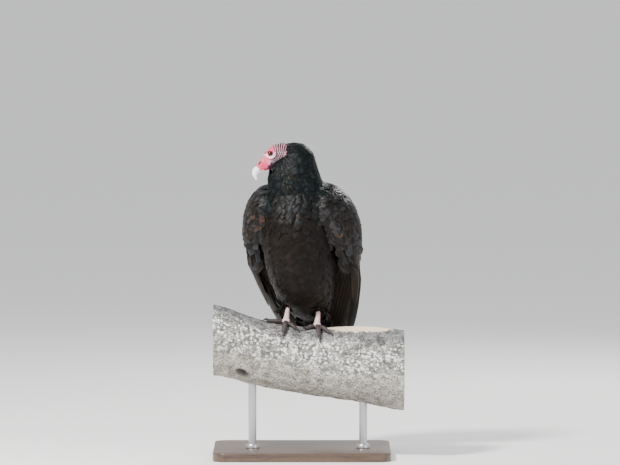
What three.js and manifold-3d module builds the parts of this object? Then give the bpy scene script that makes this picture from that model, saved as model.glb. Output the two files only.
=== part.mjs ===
// Turkey vulture, perched and hunched, on a cut length of limb carried by a plain display stand.
// Millimetres, +Z up. The origin is the centre of the base's underside.
// The bird looks towards -Y. Its own frame has +X to its left side and +Y towards its tail.
import * as THREE from "three";
import { mergeVertices } from "three/addons/utils/BufferGeometryUtils.js";
import Module from "manifold-3d";

const wasm = await Module();
wasm.setup();

// Driving dimensions
const GAP = 0.35;
const BASE = { width: 400, depth: 330, height: 20, corner: 30, edge: 3 };
const ROD = { radius: 9, places: [-112, 138] };
const LIMB = { y: -35, left: -200, right: 230 };
const BIRD = { x: -4, y: -35, z: 294, yaw: -15 };
const HEAD = { eye: [-46, -89, 395], yaw: 47, pitch: 29.5, roll: 9 };
const EYE = { radius: 6.6, x: 4.6, out: 8.2, z: 0.6 };
const FOOT = { right: -36, left: 34, start: 0.06, lift: 1.4 };
const TAIL = { length: 250, root: 62, tip: 98, thick: 12, thin: 3, sag: 9 };
const MIDLINE_GAP = 0.6;

const COLOURS = {
  plumage: 0x1d1714,
  ruff: 0x10120f,
  wing: 0x2a211b,
  flight: 0x33291f,
  skin: 0xc14a52,
  horn: 0xece4d6,
  eye: 0x2a0d08,
  leg: 0xcfa79c,
  toe: 0x4a4542,
  claw: 0x15130f,
  bark: 0x8d8a82,
  wood: 0x3a2a1f,
  steel: 0x8f9296,
};

// Numbers between stations: a smooth curve through equally spaced values
function profile(values) {
  const points = values.map((value) => new THREE.Vector3(value, 0, 0));
  const curve = new THREE.CatmullRomCurve3(points, false, "catmullrom", 0.5);
  return (t) => curve.getPoint(THREE.MathUtils.clamp(t, 0, 1)).x;
}

function bend(value, power) {
  return Math.sign(value) * Math.abs(value) ** power;
}

// A closed body around a curved line of stations. Each station is
// [x, y, z, half width, reach to the back side, reach to the front side].
function loft(stations, options) {
  const { rings, around, startDome, endDome, domeRings = 2, power = 1, side = [1, 0, 0] } = options;
  const domeShare = domeRings / rings;
  const line = new THREE.CatmullRomCurve3(
    stations.map(([x, y, z]) => new THREE.Vector3(x, y, z)), false, "catmullrom", 0.5);
  const [width, back, front] = [3, 4, 5].map((column) => profile(stations.map((row) => row[column])));
  const geometry = new THREE.SphereGeometry(1, around, rings);
  const position = geometry.attributes.position;
  const reference = new THREE.Vector3(...side);
  for (let i = 0; i < position.count; i += 1) {
    const step = Math.acos(THREE.MathUtils.clamp(position.getY(i), -1, 1)) / Math.PI;
    const turn = Math.atan2(position.getX(i), position.getZ(i));
    const fromEnd = Math.min(step, 1 - step);
    const domed = fromEnd < domeShare - 1e-6;
    const swing = domed ? (fromEnd / domeShare) * (Math.PI / 2) : Math.PI / 2;
    const t = THREE.MathUtils.clamp((step - domeShare) / (1 - 2 * domeShare), 0, 1);
    const shift = (step < 0.5 ? -startDome : endDome) * Math.cos(swing);
    const tangent = line.getTangent(t);
    const across = reference.clone().addScaledVector(tangent, -reference.dot(tangent)).normalize();
    const out = across.clone().cross(tangent).normalize();
    const reach = Math.cos(turn) > 0 ? back(t) : front(t);
    const point = line.getPoint(t)
      .addScaledVector(tangent, shift)
      .addScaledVector(across, width(t) * bend(Math.sin(turn), power) * Math.sin(swing))
      .addScaledVector(out, reach * bend(Math.cos(turn), power) * Math.sin(swing));
    position.setXYZ(i, point.x, point.y, point.z);
  }
  return closed(geometry);
}

// Only positions, shared vertices and outward faces
function closed(geometry) {
  const bare = geometry.clone();
  bare.deleteAttribute("normal");
  bare.deleteAttribute("uv");
  const merged = mergeVertices(bare, 1e-3);
  const index = [];
  const corners = merged.index.array;
  for (let i = 0; i < corners.length; i += 3) {
    const [a, b, c] = [corners[i], corners[i + 1], corners[i + 2]];
    if (a !== b && b !== c && c !== a) {
      index.push(a, b, c);
    }
  }
  if (volume(merged.attributes.position, index) < 0) {
    index.reverse();
  }
  merged.setIndex(index);
  return merged;
}

function volume(position, index) {
  const [a, b, c] = [new THREE.Vector3(), new THREE.Vector3(), new THREE.Vector3()];
  let total = 0;
  for (let i = 0; i < index.length; i += 3) {
    a.fromBufferAttribute(position, index[i]);
    b.fromBufferAttribute(position, index[i + 1]);
    c.fromBufferAttribute(position, index[i + 2]);
    total += a.dot(b.cross(c)) / 6;
  }
  return total;
}

// The same body pushed out by a distance along its own normals
function grown(geometry, distance) {
  const copy = geometry.clone();
  copy.computeVertexNormals();
  const { position, normal } = copy.attributes;
  for (let i = 0; i < position.count; i += 1) {
    position.setXYZ(
      i,
      position.getX(i) + normal.getX(i) * distance,
      position.getY(i) + normal.getY(i) * distance,
      position.getZ(i) + normal.getZ(i) * distance,
    );
  }
  copy.deleteAttribute("normal");
  return copy;
}

function solid(geometry) {
  return new wasm.Manifold(new wasm.Mesh({
    numProp: 3,
    vertProperties: new Float32Array(geometry.attributes.position.array),
    triVerts: new Uint32Array(geometry.index.array),
  }));
}

// The largest body left by a cut, as a geometry
function fromSolid(body) {
  const pieces = body.decompose();
  const largest = pieces.reduce((best, piece) => (piece.volume() > best.volume() ? piece : best));
  const mesh = largest.getMesh();
  const geometry = new THREE.BufferGeometry();
  geometry.setAttribute("position", new THREE.BufferAttribute(new Float32Array(mesh.vertProperties), 3));
  geometry.setIndex(new THREE.BufferAttribute(new Uint32Array(mesh.triVerts), 1));
  return geometry;
}

function cut(geometry, neighbours, distance = GAP) {
  const body = neighbours.reduce(
    (rest, neighbour) => rest.subtract(solid(grown(neighbour, distance))), solid(geometry));
  return fromSolid(body);
}

function joined(first, second) {
  return fromSolid(solid(first).add(solid(second)));
}

function named(name, geometry, colour, roughness = 0.8, metalness = 0) {
  const flat = geometry.clone();
  flat.computeVertexNormals();
  const mesh = new THREE.Mesh(flat, new THREE.MeshStandardMaterial({ color: colour, roughness, metalness }));
  mesh.name = name;
  return mesh;
}

// A flat outline in the bird's side view, across the whole width, as a cutting body
function sidePlate(points, from = -300, to = 300) {
  const shape = new THREE.Shape(points.map(([y, z]) => new THREE.Vector2(y, z)));
  const plate = new THREE.ExtrudeGeometry(shape, { depth: to - from, bevelEnabled: false, curveSegments: 8 });
  plate.applyMatrix4(new THREE.Matrix4().makeBasis(
    new THREE.Vector3(0, 1, 0), new THREE.Vector3(0, 0, 1), new THREE.Vector3(1, 0, 0)));
  plate.translate(from, 0, 0);
  return closed(plate);
}

// A flat outline in the bird's front view, through the whole depth
function frontPlate(points) {
  const shape = new THREE.Shape(points.map(([x, z]) => new THREE.Vector2(x, z)));
  const plate = new THREE.ExtrudeGeometry(shape, { depth: 700, bevelEnabled: false });
  plate.rotateX(Math.PI / 2);
  plate.translate(0, 400, 0);
  return closed(plate);
}

// The outside of trunk and folded wings together, from the shoulders to the wing tips
const OUTSIDE = [
  [0, -16, 318, 88, 58, 62],
  [0, -13, 300, 110, 74, 88],
  [0, -4, 268, 128, 88, 108],
  [0, 10, 230, 136.5, 94, 112],
  [0, 26, 196, 136.5, 92, 108],
  [0, 44, 154, 129.5, 86, 98],
  [0, 64, 108, 119, 78, 84],
  [0, 90, 56, 107, 68, 70],
  [0, 118, 2, 93, 55, 52],
  [0, 155, -56, 70, 40, 34],
  [0, 196, -108, 44, 26, 18],
];

// The room inside the wings
const INSIDE = [
  [0, 48, 146, 88, 62, 80],
  [0, 54, 130, 101, 68, 86],
  [0, 64, 108, 101, 66, 80],
  [0, 90, 56, 94, 57, 68],
  [0, 118, 2, 82, 45, 50],
  [0, 155, -56, 60, 31, 34],
  [0, 196, -108, 36, 18, 20],
];

// Trunk in its plumage: crop, breast, belly and the soft feathers under the tail
const TRUNK = [
  [0, -40, 318, 70, 60, 50],
  [0, -28, 286, 84, 78, 74],
  [0, -16, 246, 89, 92, 88],
  [0, -4, 206, 89, 100, 96],
  [0, 12, 160, 84, 101, 96],
  [0, 32, 114, 76, 95, 84],
  [0, 60, 70, 64, 78, 58],
  [0, 94, 32, 46, 50, 30],
  [0, 124, -14, 30, 28, 16],
];

// The feathered hood around the neck
const HOOD = [
  [0, -30, 292, 62, 52, 60],
  [0, -38, 322, 61, 52, 58],
  [-1, -44, 350, 55, 49, 51],
  [-1, -47, 376, 48.5, 43, 44],
];

const LEG = {
  thigh: [
    [43, 30, 128, 34, 34, 40],
    [40, 27, 96, 31, 29, 36],
    [38, 28, 66, 24, 22, 26],
    [36, 30, 46, 15, 14, 15],
  ],
  tarsus: [
    [36, 30, 47, 7.5, 7.5, 7.5],
    [35.5, 18, 30, 6.2, 6.6, 6.6],
    [35, 4, 14, 7, 7, 7.5],
  ],
};

function outside() {
  return loft(OUTSIDE, { rings: 17, around: 26, startDome: 9, endDome: 46 });
}

function inside() {
  return loft(INSIDE, { rings: 14, around: 18, startDome: 8, endDome: 46 });
}

function trunkBody() {
  return loft(TRUNK, { rings: 14, around: 20, startDome: 12, endDome: 20 });
}

function headMatrix() {
  const matrix = new THREE.Matrix4();
  const radians = THREE.MathUtils.degToRad;
  const yaw = new THREE.Matrix4().makeRotationZ(radians(-90 - HEAD.yaw));
  const pitch = new THREE.Matrix4().makeRotationY(radians(HEAD.pitch));
  const roll = new THREE.Matrix4().makeRotationX(radians(HEAD.roll));
  matrix.makeTranslation(...HEAD.eye).multiply(yaw).multiply(pitch).multiply(roll);
  return matrix;
}

function inHead(geometry) {
  return geometry.clone().applyMatrix4(headMatrix());
}

// Head frame: +X to the bill, +Y to the bird's left, +Z up, zero midway between the eyes
function headBody() {
  const rows = [
    [43.5, -6.4, -23, 6.9],
    [35, -3, -24, 7.6],
    [25, 0.4, -28, 9.4],
    [14, 2.8, -30, 12.4],
    [2, 7.4, -29.5, 15],
    [-10, 11.6, -29, 17.4],
    [-22, 11.2, -27, 17.6],
    [-34, 7.5, -22, 15.5],
  ];
  const stations = rows.map(([x, top, bottom, half]) => {
    const middle = (top + bottom) / 2;
    return [x, 0, middle, half, top - middle, middle - bottom];
  });
  return inHead(loft(stations, {
    rings: 14, around: 16, startDome: 0.5, endDome: 12, power: 0.84, side: [0, 1, 0],
  }));
}

function upperBill() {
  const stations = [
    [44.6, 0, -14.6, 6.8, 7.8, 7.6],
    [50.4, 0, -15, 6.7, 8.4, 8],
    [56, 0, -18.6, 5.6, 7.6, 7],
    [58.6, 0, -24, 4, 5, 4.8],
    [60, 0, -29.6, 2, 2.6, 2.6],
  ];
  return inHead(loft(stations, { rings: 10, around: 12, startDome: 0.3, endDome: 5, side: [0, 1, 0] }));
}

function lowerBill() {
  const stations = [
    [36, 0, -24.6, 5.6, 2.4, 2.6],
    [43, 0, -24.4, 5.2, 2, 2.4],
    [48, 0, -24, 3.8, 1.8, 2],
  ];
  return inHead(loft(stations, { rings: 7, around: 10, startDome: 1.5, endDome: 3, side: [0, 1, 0] }));
}

function eyeball(side) {
  const ball = closed(new THREE.SphereGeometry(EYE.radius, 10, 7));
  ball.translate(EYE.x, side * EYE.out, EYE.z);
  return inHead(ball);
}

function throat() {
  const stations = [
    [-30, -73, 388, 17, 15, 15],
    [-30, -72, 368, 21, 20, 20],
    [-27, -70, 345, 31, 26, 24],
    [-18, -62, 318, 42, 34, 30],
  ];
  return loft(stations, { rings: 7, around: 12, startDome: 8, endDome: 10 });
}

function neckBody() {
  const hood = loft(HOOD, { rings: 11, around: 20, domeRings: 3, startDome: 14, endDome: 43 });
  return joined(hood, throat());
}

// The wing's edges in side view
const LEADING_EDGE = [
  [-10, 345],
  [-50, 322],
  [-74, 284],
  [-68, 240],
  [-42, 192],
  [-2, 148],
  [38, 104],
  [74, 54],
  [108, 2],
  [158, -66],
  [215, -134],
  [248, -162],
];

function behindLeadingEdge() {
  const curve = new THREE.SplineCurve(LEADING_EDGE.map(([y, z]) => new THREE.Vector2(y, z)));
  const edge = curve.getPoints(15).map((point) => [point.x, point.y]);
  return sidePlate([...edge, [400, -162], [400, 345]]);
}

// The back between the wings narrows towards the rump
function backWedge(spare) {
  const half = [[44, 360], [36, 260], [24, 160], [9, 60], [MIDLINE_GAP / 2, 10], [MIDLINE_GAP / 2, -220]];
  const right = half.map(([x, z]) => [x + spare, z]);
  const left = half.map(([x, z]) => [-x - spare, z]).reverse();
  return frontPlate([...right, ...left]);
}

// A thin saw cut across the wing, between two points of the side view
function sawCut([y1, z1], [y2, z2]) {
  const along = new THREE.Vector2(y2 - y1, z2 - z1).normalize();
  const [ny, nz] = [-along.y * GAP / 2, along.x * GAP / 2];
  return sidePlate([[y1 + ny, z1 + nz], [y1 - ny, z1 - nz], [y2 - ny, z2 - nz], [y2 + ny, z2 + nz]]);
}

function tailBody() {
  const blade = new THREE.BoxGeometry(1, 1, 1, 8, 1, 6);
  const position = blade.attributes.position;
  const radians = THREE.MathUtils.degToRad(56);
  for (let i = 0; i < position.count; i += 1) {
    const across = position.getX(i) * 2;
    const along = 0.5 - position.getZ(i);
    const half = THREE.MathUtils.lerp(TAIL.root, TAIL.tip, along ** 0.8) / 2;
    const rounding = 14 * across ** 2 * along;
    const thickness = THREE.MathUtils.lerp(TAIL.thick, TAIL.thin, along);
    const run = TAIL.length * along - rounding;
    const rise = position.getY(i) * thickness - TAIL.sag * across ** 2;
    position.setXYZ(
      i,
      across * half,
      96 + run * Math.cos(radians) + rise * Math.sin(radians),
      44 - run * Math.sin(radians) + rise * Math.cos(radians),
    );
  }
  return closed(blade);
}

function mirrored(stations, side) {
  return stations.map(([x, ...rest]) => [x * side, ...rest]);
}

function thighBody(side) {
  return loft(mirrored(LEG.thigh, side), { rings: 8, around: 12, startDome: 24, endDome: 6 });
}

// Limb: axis height and radius along X
const LIMB_AXIS = [[-200, 265], [-95, 235], [2, 216], [120, 207.5], [230, 197]];
const limbHeight = profile(LIMB_AXIS.map(([, z]) => z));
const limbRadius = profile([80, 75.5, 75.5, 82, 92]);

function limbPlace(x) {
  const t = (x - LIMB.left) / (LIMB.right - LIMB.left);
  return { z: limbHeight(t), radius: limbRadius(t) };
}

// A swelling of bare wood along the top, right of the feet
function woodSwell(x, angle) {
  const along = Math.max(0, 1 - ((x - 128) / 86) ** 2);
  const around = Math.exp(-(((angle + 0.25) / 0.42) ** 2));
  return 9 * along * around;
}

// A point on the bark. The angle is zero on top and grows towards the bird's front.
function onLimb(x, angle, lift = 0) {
  const { z, radius } = limbPlace(x);
  const reach = radius + woodSwell(x, angle) + lift;
  return new THREE.Vector3(x, LIMB.y - Math.sin(angle) * reach, z + Math.cos(angle) * reach);
}

function limbBody() {
  const length = LIMB.right - LIMB.left;
  const log = new THREE.CylinderGeometry(1, 1, length, 24, 10);
  log.rotateZ(Math.PI / 2);
  const position = log.attributes.position;
  for (let i = 0; i < position.count; i += 1) {
    const x = LIMB.left + length / 2 + position.getX(i);
    const [y, z] = [position.getY(i), position.getZ(i)];
    const spread = Math.hypot(y, z);
    const angle = Math.atan2(-z, y);
    const centre = new THREE.Vector3(x, LIMB.y, limbPlace(x).z);
    const point = centre.lerp(onLimb(x, angle), spread > 0.5 ? 1 : 0);
    position.setXYZ(i, point.x, point.y, point.z);
  }
  return closed(log);
}

// A toe or claw that follows the bark: ten or so rings along a path over the limb
function digit(path, radii, settings) {
  const stations = radii.map((radius, i) => {
    const point = path(i / (radii.length - 1), radius);
    return [point.x, point.y, point.z, radius, radius, radius];
  });
  return loft(stations, { rings: 6, around: 6, domeRings: 1, ...settings });
}

const TOES = {
  right: {
    outer: { along: -42, over: 12 },
    middle: { along: -5, over: 47 },
    inner: { along: 22, over: 27 },
    hallux: { along: 6, over: -25 },
  },
  left: {
    outer: { along: 27, over: 33 },
    middle: { along: 5, over: 48 },
    inner: { along: -27, over: 22 },
    hallux: { along: -5, over: -25 },
  },
};
const TOE_RADII = {
  outer: [6, 5.4, 5.8, 4.6, 4.2],
  middle: [6.6, 5.8, 6.2, 5, 4.6],
  inner: [6, 5.4, 5.6, 4.4, 4],
  hallux: [5, 4.6, 4.2],
};
const CLAW_LENGTH = { outer: 13, middle: 17, inner: 14, hallux: 13 };

function toeRoute(side, toe) {
  const start = FOOT[side];
  const { along, over } = TOES[side][toe];
  const length = Math.hypot(along, over);
  return (distance, lift) => {
    const x = start + along * distance / length;
    const { radius } = limbPlace(x);
    return onLimb(x, FOOT.start + (over * distance / length) / radius, lift + FOOT.lift);
  };
}

function toeBody(side, toe) {
  const { along, over } = TOES[side][toe];
  const length = Math.hypot(along, over);
  const route = toeRoute(side, toe);
  return digit((t, radius) => route(length * (0.12 + 0.88 * t), radius), TOE_RADII[toe], {
    startDome: 4, endDome: 3.6, side: Math.abs(over) > Math.abs(along) ? [1, 0, 0] : [0, 1, 0],
  });
}

function clawBody(side, toe) {
  const { along, over } = TOES[side][toe];
  const length = Math.hypot(along, over);
  const route = toeRoute(side, toe);
  const reach = CLAW_LENGTH[toe];
  const arch = [2.6, 3.4, 2.2, 0.2];
  return digit((t, radius) => route(length + reach * t, radius + arch[Math.round(t * 3)]), [3.4, 2.9, 1.9, 0.7], {
    startDome: 1.5, endDome: 0.9, side: Math.abs(over) > Math.abs(along) ? [1, 0, 0] : [0, 1, 0],
  });
}

function footPad(side) {
  const centre = onLimb(FOOT[side], FOOT.start, 7.6 + FOOT.lift);
  const pad = closed(new THREE.SphereGeometry(1, 10, 6));
  pad.scale(9.5, 10.5, 7.6);
  pad.translate(centre.x, centre.y, centre.z);
  return pad;
}

// Tarsus and pad in the world frame: the ankle comes from the bird's frame
function tarsusBody(side, birdMatrix) {
  const sign = side === "left" ? 1 : -1;
  const ankle = new THREE.Vector3(...LEG.tarsus[0].slice(0, 3));
  ankle.x *= sign;
  ankle.applyMatrix4(birdMatrix);
  const foot = onLimb(FOOT[side], FOOT.start, 10 + FOOT.lift);
  const middle = ankle.clone().lerp(foot, 0.5).add(new THREE.Vector3(0, 1.5, 0));
  const stations = [
    [ankle.x, ankle.y, ankle.z, 7.4, 7.4, 7.4],
    [middle.x, middle.y, middle.z, 6, 6.4, 6.4],
    [foot.x, foot.y, foot.z, 7, 6.8, 6.8],
  ];
  const shank = loft(stations, { rings: 7, around: 9, domeRings: 1, startDome: 5, endDome: 3 });
  return joined(shank, footPad(side));
}

function baseBody() {
  const { width, depth, height, corner, edge } = BASE;
  const shape = new THREE.Shape();
  const [w, d] = [width / 2 - edge, depth / 2 - edge];
  shape.moveTo(-w + corner, -d);
  shape.lineTo(w - corner, -d);
  shape.absarc(w - corner, -d + corner, corner, -Math.PI / 2, 0);
  shape.lineTo(w, d - corner);
  shape.absarc(w - corner, d - corner, corner, 0, Math.PI / 2);
  shape.lineTo(-w + corner, d);
  shape.absarc(-w + corner, d - corner, corner, Math.PI / 2, Math.PI);
  shape.lineTo(-w, -d + corner);
  shape.absarc(-w + corner, -d + corner, corner, Math.PI, Math.PI * 1.5);
  const slab = new THREE.ExtrudeGeometry(shape, {
    depth: height - 2 * edge, bevelEnabled: true, bevelThickness: edge, bevelSize: edge,
    bevelSegments: 1, curveSegments: 4,
  });
  slab.translate(0, 0, edge);
  return closed(slab);
}

function rodBody(x) {
  const bottom = BASE.height + GAP;
  const top = limbPlace(x).z - limbPlace(x).radius / 2;
  const rod = new THREE.CylinderGeometry(ROD.radius, ROD.radius, top - bottom, 16);
  rod.rotateX(Math.PI / 2);
  rod.translate(x, LIMB.y, (top + bottom) / 2);
  return closed(rod);
}

function headPieces(group) {
  const eyes = { left: eyeball(1), right: eyeball(-1) };
  const upper = upperBill();
  const lower = cut(lowerBill(), [upper]);
  const head = cut(headBody(), [eyes.left, eyes.right, upper, lowerBill()]);
  group.add(named("head", head, COLOURS.skin, 0.55));
  group.add(named("bill_upper", upper, COLOURS.horn, 0.35));
  group.add(named("bill_lower", lower, COLOURS.horn, 0.35));
  group.add(named("eye_left", eyes.left, COLOURS.eye, 0.05));
  group.add(named("eye_right", eyes.right, COLOURS.eye, 0.05));
  return headBody();
}

function bodyPieces(group, head, shanks) {
  const neck = cut(neckBody(), [head]);
  const trunkWhole = trunkBody();
  const thighs = { left: thighBody(1), right: thighBody(-1) };
  const tail = tailBody();
  const trunk = cut(trunkWhole, [neckBody(), thighs.left, thighs.right, tail, ...shanks]);
  group.add(named("neck", neck, COLOURS.ruff, 0.6));
  group.add(named("trunk", trunk, COLOURS.plumage, 0.75));
  group.add(named("tail", tail, COLOURS.flight, 0.6));
  return { trunkWhole, thighs, tail };
}

function wingPieces(group, body) {
  const shell = solid(outside())
    .subtract(solid(inside()))
    .subtract(solid(grown(body.trunkWhole, GAP)))
    .subtract(solid(grown(body.tail, GAP)))
    .subtract(solid(grown(neckBody(), GAP)))
    .intersect(solid(behindLeadingEdge()));
  const back = shell.intersect(solid(backWedge(-MIDLINE_GAP / 4)));
  group.add(named("back", fromSolid(back), COLOURS.plumage, 0.7));
  const cuts = [sawCut([-120, 212], [260, 112]), sawCut([-60, 112], [320, -40])];
  const wings = shell
    .subtract(solid(backWedge(GAP)))
    .subtract(solid(cuts[0]))
    .subtract(solid(cuts[1]));
  const parts = wings.decompose().filter((piece) => piece.volume() > 2000);
  const names = ["coverts", "secondaries", "primaries"];
  for (const [label, sign] of [["left", 1], ["right", -1]]) {
    const own = parts
      .filter((piece) => sign * middleOf(piece).x > 0)
      .sort((a, b) => middleOf(b).z - middleOf(a).z);
    names.forEach((name, i) => {
      const colour = i === 0 ? COLOURS.wing : COLOURS.flight;
      group.add(named(`wing_${label}_${name}`, fromSolid(own[i]), colour, 0.65));
    });
  }
}

function middleOf(piece) {
  const { min, max } = piece.boundingBox();
  return { x: (min[0] + max[0]) / 2, z: (min[2] + max[2]) / 2 };
}

function legPieces(bird, ground, thighs, shanks) {
  for (const [side, toes] of Object.entries(TOES)) {
    const tarsus = tarsusBody(side, bird.matrix);
    bird.add(named(`thigh_${side}`, cut(thighs[side], shanks), COLOURS.plumage, 0.75));
    ground.add(named(`tarsus_${side}`, tarsus, COLOURS.leg, 0.6));
    const placed = [tarsus];
    for (const toe of Object.keys(toes)) {
      const whole = toeBody(side, toe);
      const claw = cut(clawBody(side, toe), [whole]);
      ground.add(named(`toe_${side}_${toe}`, cut(whole, placed), COLOURS.toe, 0.6));
      ground.add(named(`claw_${side}_${toe}`, claw, COLOURS.claw, 0.3));
      placed.push(whole);
    }
  }
}

function standPieces(group) {
  const limb = limbBody();
  group.add(named("perch_limb", limb, COLOURS.bark, 0.95));
  group.add(named("stand_base", baseBody(), COLOURS.wood, 0.5));
  ROD.places.forEach((x) => {
    const name = x < 0 ? "stand_rod_left" : "stand_rod_right";
    group.add(named(name, cut(rodBody(x), [limb]), COLOURS.steel, 0.3, 1));
  });
}

function build() {
  const model = new THREE.Group();
  const bird = new THREE.Group();
  bird.position.set(BIRD.x, BIRD.y, BIRD.z);
  bird.rotation.z = THREE.MathUtils.degToRad(BIRD.yaw);
  bird.updateMatrix();
  const ground = new THREE.Group();
  model.add(bird, ground);
  const head = headPieces(bird);
  const toBird = bird.matrix.clone().invert();
  const shanks = ["left", "right"].map((side) => tarsusBody(side, bird.matrix).applyMatrix4(toBird));
  const body = bodyPieces(bird, head, shanks);
  wingPieces(bird, body);
  legPieces(bird, ground, body.thighs, shanks);
  standPieces(ground);
  return model;
}

export default build();
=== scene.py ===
"""Turkey vulture: a still, life-size museum model on a limb, built around its packed frame."""

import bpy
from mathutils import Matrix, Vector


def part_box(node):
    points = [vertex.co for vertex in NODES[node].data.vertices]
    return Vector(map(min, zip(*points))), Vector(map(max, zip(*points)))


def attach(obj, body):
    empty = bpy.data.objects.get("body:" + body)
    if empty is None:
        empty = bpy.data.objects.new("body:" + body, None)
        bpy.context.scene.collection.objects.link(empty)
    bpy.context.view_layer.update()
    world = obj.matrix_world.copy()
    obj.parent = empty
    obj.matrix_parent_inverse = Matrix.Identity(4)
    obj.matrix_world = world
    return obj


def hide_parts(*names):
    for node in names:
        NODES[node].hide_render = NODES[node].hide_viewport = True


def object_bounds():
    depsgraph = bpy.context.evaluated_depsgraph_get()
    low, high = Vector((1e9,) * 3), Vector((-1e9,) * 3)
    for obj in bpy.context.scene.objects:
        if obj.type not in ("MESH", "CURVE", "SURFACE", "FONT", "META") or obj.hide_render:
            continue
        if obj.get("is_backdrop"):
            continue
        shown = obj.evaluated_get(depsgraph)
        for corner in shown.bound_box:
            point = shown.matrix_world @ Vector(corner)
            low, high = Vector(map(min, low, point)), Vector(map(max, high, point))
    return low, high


bl_info = {
    "name": "Turkey Vulture Museum Model",
    "version": (1, 0, 0),
    "blender": (4, 5, 0),
    "location": "3D View > Sidebar > Vulture",
    "description": "Builds the skin, feathers, bill, eyes, feet, limb and stand of a perched vulture",
    "category": "Add Mesh",
}

import math

import bmesh
import bpy
import numpy as np
from mathutils import Matrix, Vector, noise
from mathutils.bvhtree import BVHTree

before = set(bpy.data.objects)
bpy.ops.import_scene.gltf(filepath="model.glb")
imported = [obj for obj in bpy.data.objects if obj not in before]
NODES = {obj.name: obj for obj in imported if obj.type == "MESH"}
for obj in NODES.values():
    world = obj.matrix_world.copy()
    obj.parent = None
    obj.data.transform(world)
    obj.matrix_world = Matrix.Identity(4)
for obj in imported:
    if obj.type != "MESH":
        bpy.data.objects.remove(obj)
CAD_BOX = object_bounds()

MM = 0.001
SIDES = ("left", "right")
TOES = ("hallux", "inner", "middle", "outer")
BODY_NODES = ("trunk", "back", "neck", "wing_left_coverts", "wing_right_coverts",
              "thigh_left", "thigh_right")
LEG_NODES = tuple(f"tarsus_{side}" for side in SIDES) + tuple(
    f"toe_{side}_{toe}" for side in SIDES for toe in TOES)
CLAW_NODES = tuple(f"claw_{side}_{toe}" for side in SIDES for toe in TOES)


def turn(axis, degrees):
    return Matrix.Rotation(math.radians(degrees), 4, axis)


# The bird's own frame: +X to its left side, +Y towards its tail. The head's own frame: +X along
# the bill, +Y to its left, +Z up, with zero midway between the eyes. Places in both are in mm.
BIRD = Matrix.Translation((-0.004, -0.035, 0.294)) @ turn("Z", -15)
HEAD = (BIRD @ Matrix.Translation((-0.046, -0.089, 0.395))
        @ turn("Z", -137) @ turn("Y", 29.5) @ turn("X", 9))
# An eyeball's radius, how far to the side its middle lies, and where it lies on the head
EYE_RADIUS, EYE_OUT = 6.6, 8.2
EYE_X, EYE_Z = 4.6, 0.6

# The body's middle line, top to bottom, and the folded wing's front edge, as bird y and z
AXIS_LINE = ((-16, 318), (-13, 300), (-4, 268), (10, 230), (26, 196), (44, 154), (64, 108),
             (90, 56), (118, 2), (155, -56), (196, -108), (224, -142))
WING_EDGE = ((-10, 345), (-50, 322), (-74, 284), (-68, 240), (-42, 192), (-2, 148), (38, 104),
             (74, 54), (108, 2), (158, -66), (215, -134), (248, -162))

# The face's middle, and the place from which the neck's feathers part, in the bird's frame
FACE = np.array((-46.0, -84.0, 392.0))
PARTING = np.array((-34.0, -76.0, 398.0))

# The limb in mm: its middle line, its ends, its heights and radii at five equal steps from end to
# end, and where along it each foot stands
LIMB_Y, LIMB_LEFT, LIMB_RIGHT = -35.0, -200.0, 230.0
LIMB_HEIGHTS = (265, 235, 216, 207.5, 197)
LIMB_RADII = (80, 75.5, 75.5, 82, 92)
FOOT_X = {"left": 34.0, "right": -36.0}


# ---------------------------------------------------------------- settings

def size(name, text, default, **limits):
    return bpy.props.FloatProperty(name=name, description=text, default=default,
                                   subtype="DISTANCE", unit="LENGTH", precision=4, **limits)


def colour(name, text, default):
    return bpy.props.FloatVectorProperty(name=name, description=text, default=default, size=3,
                                         subtype="COLOR", min=0, max=1)


class VULTURE_PG_skin(bpy.types.PropertyGroup):
    coat_depth: size("Coat depth", "How far the skin lies under the feathers' tips", 0.008)
    forehead: colour("Forehead", "Bare skin of the forehead and cere", (0.67, 0.062, 0.155))
    cheek: colour("Cheek", "Red skin beside the bill's corner", (0.76, 0.016, 0.125))
    eye_ring: colour("Eye ring", "Pale warty folds round the eye", (0.88, 0.83, 0.84))
    crown: colour("Crown", "Pale ridges of the wrinkled crown", (0.60, 0.37, 0.44))
    furrow: colour("Furrow", "Dark furrows of the crown", (0.034, 0.0045, 0.0130))
    jaw: colour("Jaw", "Lower edge of the jaw", (0.33, 0.012, 0.035))
    corner: colour("Gape corner", "Dark skin at the corner of the mouth", (0.016, 0.008, 0.050))
    # Throat and body: near-black skin under the feathers, painted as the shade beneath them
    throat: colour("Throat", "Skin under the throat's short feathers", (0.0040, 0.0048, 0.0048))
    shank: colour("Shank", "Skin of the legs", (0.72, 0.50, 0.50))
    toes: colour("Toes", "Skin of the toes", (0.056, 0.042, 0.043))
    body: colour("Body", "Skin under the body's feathers", (0.0035, 0.0032, 0.0032))


class VULTURE_PG_plumage(bpy.types.PropertyGroup):
    ruff_length: size("Ruff feathers", "Length of the ruff's feathers", 0.026)
    breast_length: size("Breast feathers", "Length of the breast's feathers", 0.042)
    back_length: size("Back feathers", "Length of the back's feathers", 0.044)
    covert_length: size("Wing coverts", "Length of the larger wing coverts", 0.046)
    thigh_length: size("Thigh feathers", "Length of the thighs' feathers", 0.034)
    # The ruff's blue-green cast stands for the sheen of its gloss: painted sheen over near-black
    ruff: colour("Ruff", "Glossy feathers round the neck", (0.0016, 0.0028, 0.0034))
    breast: colour("Breast", "Feathers of the breast and belly", (0.0054, 0.0035, 0.0027))
    back: colour("Back", "Feathers of the back", (0.0036, 0.0032, 0.0031))
    wing: colour("Wing", "Feathers of the wings", (0.0040, 0.0034, 0.0033))
    flight: colour("Flight feathers", "Long feathers of wings and tail", (0.0085, 0.0066, 0.0055))
    worn: colour("Worn edge", "Bleached edges of the wing's feathers", (0.18, 0.125, 0.090))
    brown: colour("Brown feathers", "Older feathers among the wing's", (0.030, 0.0165, 0.0105))
    silver: colour("Underside", "Silvery underside of the flight feathers", (0.105, 0.092, 0.080))


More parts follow.
